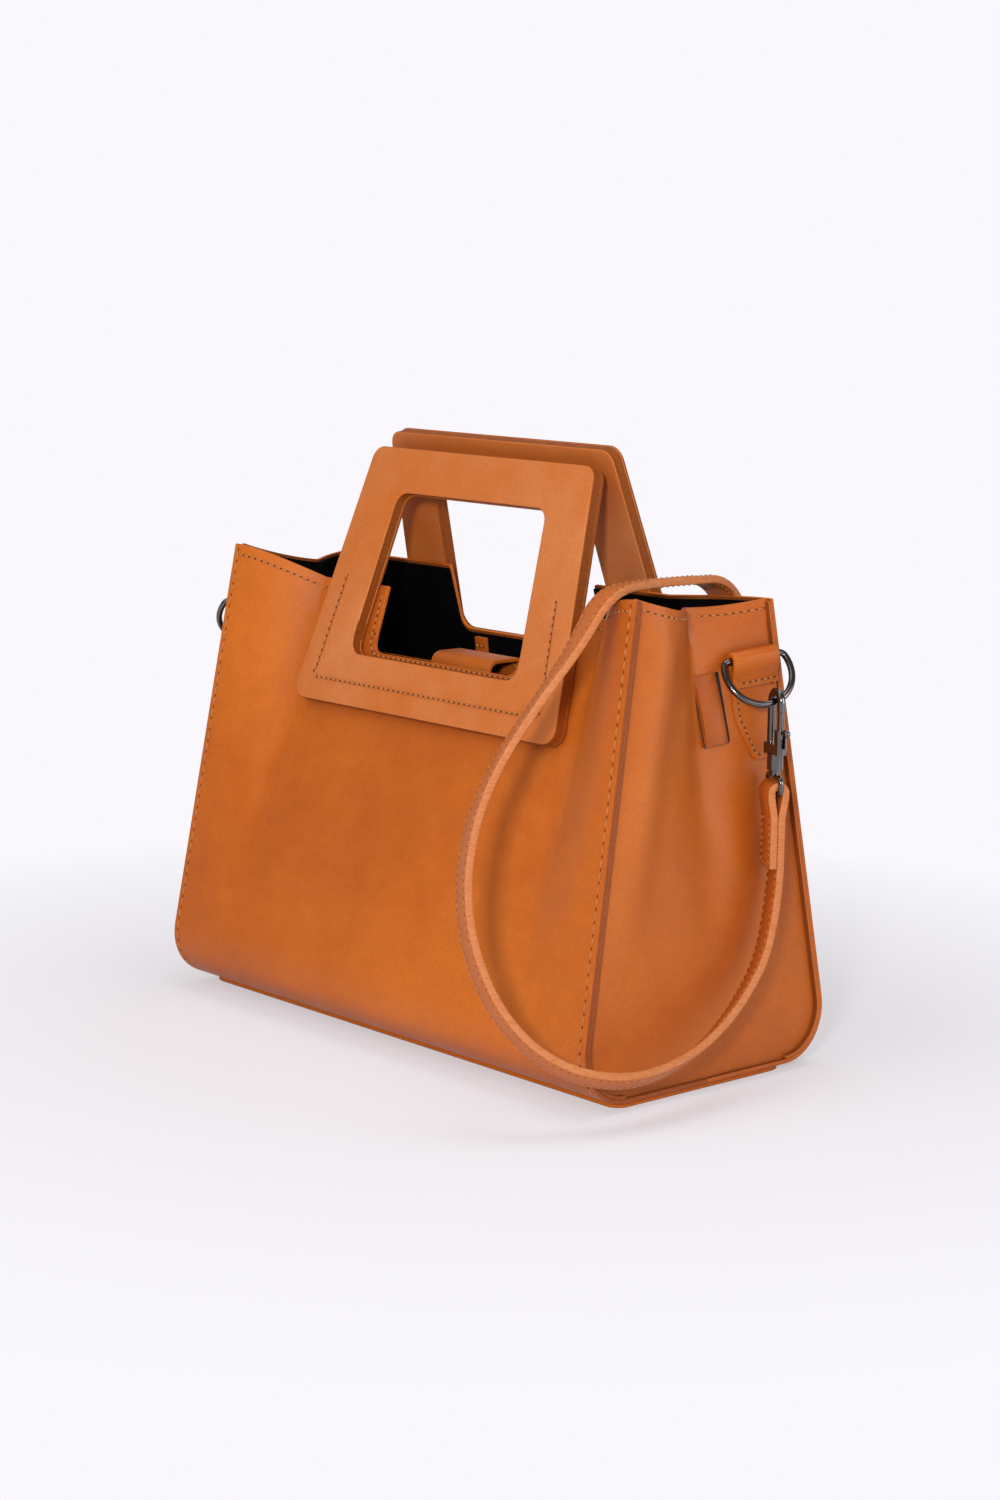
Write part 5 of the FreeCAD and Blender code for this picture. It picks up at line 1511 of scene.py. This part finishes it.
    def leash(self, trim, looks):
        """A narrow strip for keys on the back lining, with its sewn root."""
        faces = [looks["bag_leather"], looks["tan_edge"]]
        low, high = (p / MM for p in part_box("key_leash"))
        x, width = (low.x + high.x) / 2, high.x - low.x
        y = (low.y + high.y) / 2
        path = [Vector((x, y, z)) for z in spaced(high.z, low.z, 10)]
        across = [Vector((1, 0, 0))] * len(path)
        outline = strip_outline(width, high.y - low.y, 0.4)
        strip = ribbon("leash_strip", path, across, outline, faces, strip_edge)
        fitted(strip, "key_leash", "bag_leather", "key_leash")
        low, high = (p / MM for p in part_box("leash_anchor"))
        path = [Vector((x, y + (high.y - y - 1.2) * k / 4 * 0.5, high.z - (high.z - low.z) * k / 4))
                for k in range(5)]
        root = ribbon("leash_root", path, across[:5], strip_outline(width, 1.9, 0.4), faces, strip_edge)
        fitted(root, "bag", "bag_leather", "leash_anchor")
        thread = Thread(trim.thread)
        cross = [Vector((x + dx, y - 1.0, (low.z + high.z) / 2)) for dx in (-3.0, 0.0, 3.0)]
        thread.line(cross, [Vector((0, -1, 0))] * 3, 2.4)
        fitted(thread.made("leash_stitches", looks), "bag", "bag_leather")


class BAG_OT_metal(bpy.types.Operator):
    """Finish of the rings, hooks, zip and snap"""

    bl_idname = "bag.metal"
    bl_label = "Metal"

    travel: length("Travel", "How far a gate is drawn down", 6.0)

    def execute(self, context):
        looks = palette()
        slots = {part["node"]: part["material_slot"] for part in frame["record"]["subparts"]}
        for node, slot in slots.items():
            if slot in ("gunmetal", "spring_steel"):
                piece = frame["nodes"][node]
                piece.data.materials.clear()
                piece.data.materials.append(looks[slot])
                piece.data.polygons.foreach_set("use_smooth", [True] * len(piece.data.polygons))
                piece.data.set_sharp_from_angle(angle=math.radians(35))
        for side in ("right", "left"):
            self.spring(side, looks)
        return {"FINISHED"}

    def spring(self, side, looks):
        """A coil of wire standing for the gate's spring; its shortest length for the gate's travel is worked
        out but not put to use.
        """
        node = side + "_gate_spring"
        low, high = (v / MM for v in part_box(node))
        wire, turns, steps = 0.4, 5, 16
        tall = high.z - low.z
        reach = (high.x - low.x - wire) / 2
        foot = Vector(((low.x + high.x) / 2, (low.y + high.y) / 2, low.z))
        path, across = [], []
        for i, (x, y) in enumerate(arc((0.0, 0.0), 1.0, 0, 360 * turns, turns * steps)):
            across.append(Vector((x, y, 0)))
            rise = wire / 2 + (tall - wire) * i / (turns * steps)
            path.append(foot + across[-1] * reach + Vector((0, 0, rise)))
        section = arc((0.0, 0.0), wire / 2, 0, 315, 7)
        coil = ribbon(side + "_gate_coil", path, across, section, [looks["spring_steel"]] * 2, strip_edge)
        fitted(coil, side + "_hook", "spring_steel", node)
        shortest = 1 - (in_mm(self.properties).travel + 0.1) / tall
        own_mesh(coil)


# Name, place, aim, width and height in metres, and power in watts.
LAMPS = (
    ("key", (1.22, -1.47, 0.66), (0.05, 0.0, 0.14), 0.2, 0.2, 18.5),
    ("front", (-0.15, -1.2, 1.3), (-0.02, 0.0, 0.2), 1.2, 1.2, 6.8),
    ("right", (1.7, -0.15, 0.7), (0.1, 0.0, 0.12), 0.9, 0.9, 4.5),
    ("above", (0.1, 0.2, 1.8), (0.0, 0.0, 0.1), 1.0, 1.0, 8.0),
    ("gleam", (1.6, 0.6, 0.4), (0.1, 0.0, 0.2), 0.7, 0.9, 16.0),
)


class BAG_OT_stage(bpy.types.Operator):
    """Floor, light and camera of the studio view"""

    bl_idname = "bag.stage"
    bl_label = "Stage"

    def execute(self, context):
        looks = context.scene.bag_looks
        context.scene.view_settings.view_transform = "Standard"
        backdrop = tuple(looks.backdrop)
        self.floor(backdrop)
        self.world(context.scene, backdrop)
        lamps = {row[0]: self.lamp(*row) for row in LAMPS}
        gleam = lamps["gleam"]
        gleam.visible_diffuse = False
        gleam.data.color = (1.0, 0.86, 0.72)
        self.camera(context.scene)
        return {"FINISHED"}

    def floor(self, backdrop):
        """A pale floor that takes the shadow near the bag and fades to the backdrop."""
        reach = 30.0
        mesh = bpy.data.meshes.new("floor")
        corners = [(x, y, 0) for x, y in oblong(-reach, reach, -reach, reach)]
        mesh.from_pydata(corners, [], [(0, 1, 2, 3)])
        floor = bpy.data.objects.new("floor", mesh)
        floor.location.z = -0.0002
        bpy.context.scene.collection.objects.link(floor)
        n = surface("floor")
        away = n.add("ShaderNodeVectorMath", operation="LENGTH")
        n.link(n.place, away.inputs[0])
        far = n.span(away.outputs["Value"], 0.17, 0.46, 0.45, 1.0)
        paper = n.add("ShaderNodeBsdfDiffuse")
        paper.inputs["Color"].default_value = (*dim(backdrop, 0.95), 1.0)
        bright = n.add("ShaderNodeEmission")
        bright.inputs["Color"].default_value = (*backdrop, 1.0)
        n.either(n.maths("MULTIPLY", far, n.seen()), paper.outputs["BSDF"], bright.outputs["Emission"])
        mesh.materials.append(n.owner)

    def world(self, scene, backdrop):
        """Even light all round; the backdrop stands behind the bag, the dim room before it."""
        scene.world = bpy.data.worlds.new("studio")
        n = Nodes(scene.world, "ShaderNodeOutputWorld", "Generated")
        light = n.add("ShaderNodeBackground")
        light.inputs["Color"].default_value = (1.0, 1.0, 1.0, 1.0)
        light.inputs["Strength"].default_value = 0.22
        behind = n.add("ShaderNodeVectorMath", operation="DOT_PRODUCT")
        behind.inputs[1].default_value = (-0.75, 0.66, 0.0)
        n.link(n.place, behind.inputs[0])
        room = n.mix(n.span(behind.outputs["Value"], 0.3, 0.8, 0.0, 1.0), (0.2, 0.2, 0.21), backdrop)
        wall = n.add("ShaderNodeBackground")
        n.link(room, wall.inputs["Color"])
        n.either(n.seen(), light.outputs["Background"], wall.outputs["Background"])

    def lamp(self, name, at, aim, width, height, power):
        """A soft box that faces its aim."""
        data = bpy.data.lights.new(name, "AREA")
        data.shape = "RECTANGLE"
        data.size = width
        data.size_y = height
        data.energy = power
        lamp = bpy.data.objects.new(name, data)
        lamp.location = at
        lamp.rotation_euler = (Vector(aim) - Vector(at)).to_track_quat("-Z", "Y").to_euler()
        bpy.context.scene.collection.objects.link(lamp)
        return lamp

    def camera(self, scene):
        """A long lens at the front right corner."""
        view = scene.bag_view
        turn, tilt, roll = view.turn, view.tilt, view.roll
        back = Vector((math.sin(turn) * math.cos(tilt), -math.cos(turn) * math.cos(tilt), math.sin(tilt)))
        right = Vector((math.cos(turn), math.sin(turn), 0))
        up = back.cross(right)
        leaning = right * math.cos(roll) + up * math.sin(roll)
        upright = up * math.cos(roll) - right * math.sin(roll)
        data = bpy.data.cameras.new("camera")
        data.sensor_fit = "VERTICAL"
        data.sensor_height = 36.0
        data.lens = view.lens
        data.clip_end = 100.0
        camera = bpy.data.objects.new("camera", data)
        at = Vector((0, 0, view.height)) + back * view.distance + leaning * view.aside
        camera.matrix_world = placed_axes(leaning, upright, back, at)
        scene.collection.objects.link(camera)
        scene.camera = camera


class BAG_PT_panel(bpy.types.Panel):
    """Steps that dress the bag, in order"""

    bl_idname = "BAG_PT_panel"
    bl_label = "Top handle bag"
    bl_space_type = "VIEW_3D"
    bl_region_type = "UI"
    bl_category = "Bag"

    def draw(self, context):
        for operator in OPERATORS:
            self.layout.operator(operator.bl_idname)
        for group in GROUPS:
            box = self.layout.box()
            values = getattr(context.scene, group)
            for key in values.__annotations__:
                box.prop(values, key)


GROUPS = {
    "bag_body": BagBodySizes,
    "bag_handles": BagHandleSizes,
    "bag_trim": BagTrimSizes,
    "bag_looks": BagLooks,
    "bag_view": BagView,
}
OPERATORS = (BAG_OT_body, BAG_OT_handles, BAG_OT_sides, BAG_OT_strap, BAG_OT_inside, BAG_OT_metal,
             BAG_OT_stage)


def register():
    for name, group in GROUPS.items():
        bpy.utils.register_class(group)
        setattr(bpy.types.Scene, name, bpy.props.PointerProperty(type=group))
    for operator in OPERATORS:
        bpy.utils.register_class(operator)
    bpy.utils.register_class(BAG_PT_panel)


def unregister():
    bpy.utils.unregister_class(BAG_PT_panel)
    for operator in reversed(OPERATORS):
        bpy.utils.unregister_class(operator)
    for name, group in reversed(GROUPS.items()):
        delattr(bpy.types.Scene, name)
        bpy.utils.unregister_class(group)


def main():
    register()
    bpy.ops.bag.body()
    bpy.ops.bag.handles()
    bpy.ops.bag.sides()
    bpy.ops.bag.strap()
    bpy.ops.bag.inside()
    bpy.ops.bag.metal()
    bpy.ops.bag.stage()
    bpy.context.view_layer.update()


if __name__ == "__main__":
    main()
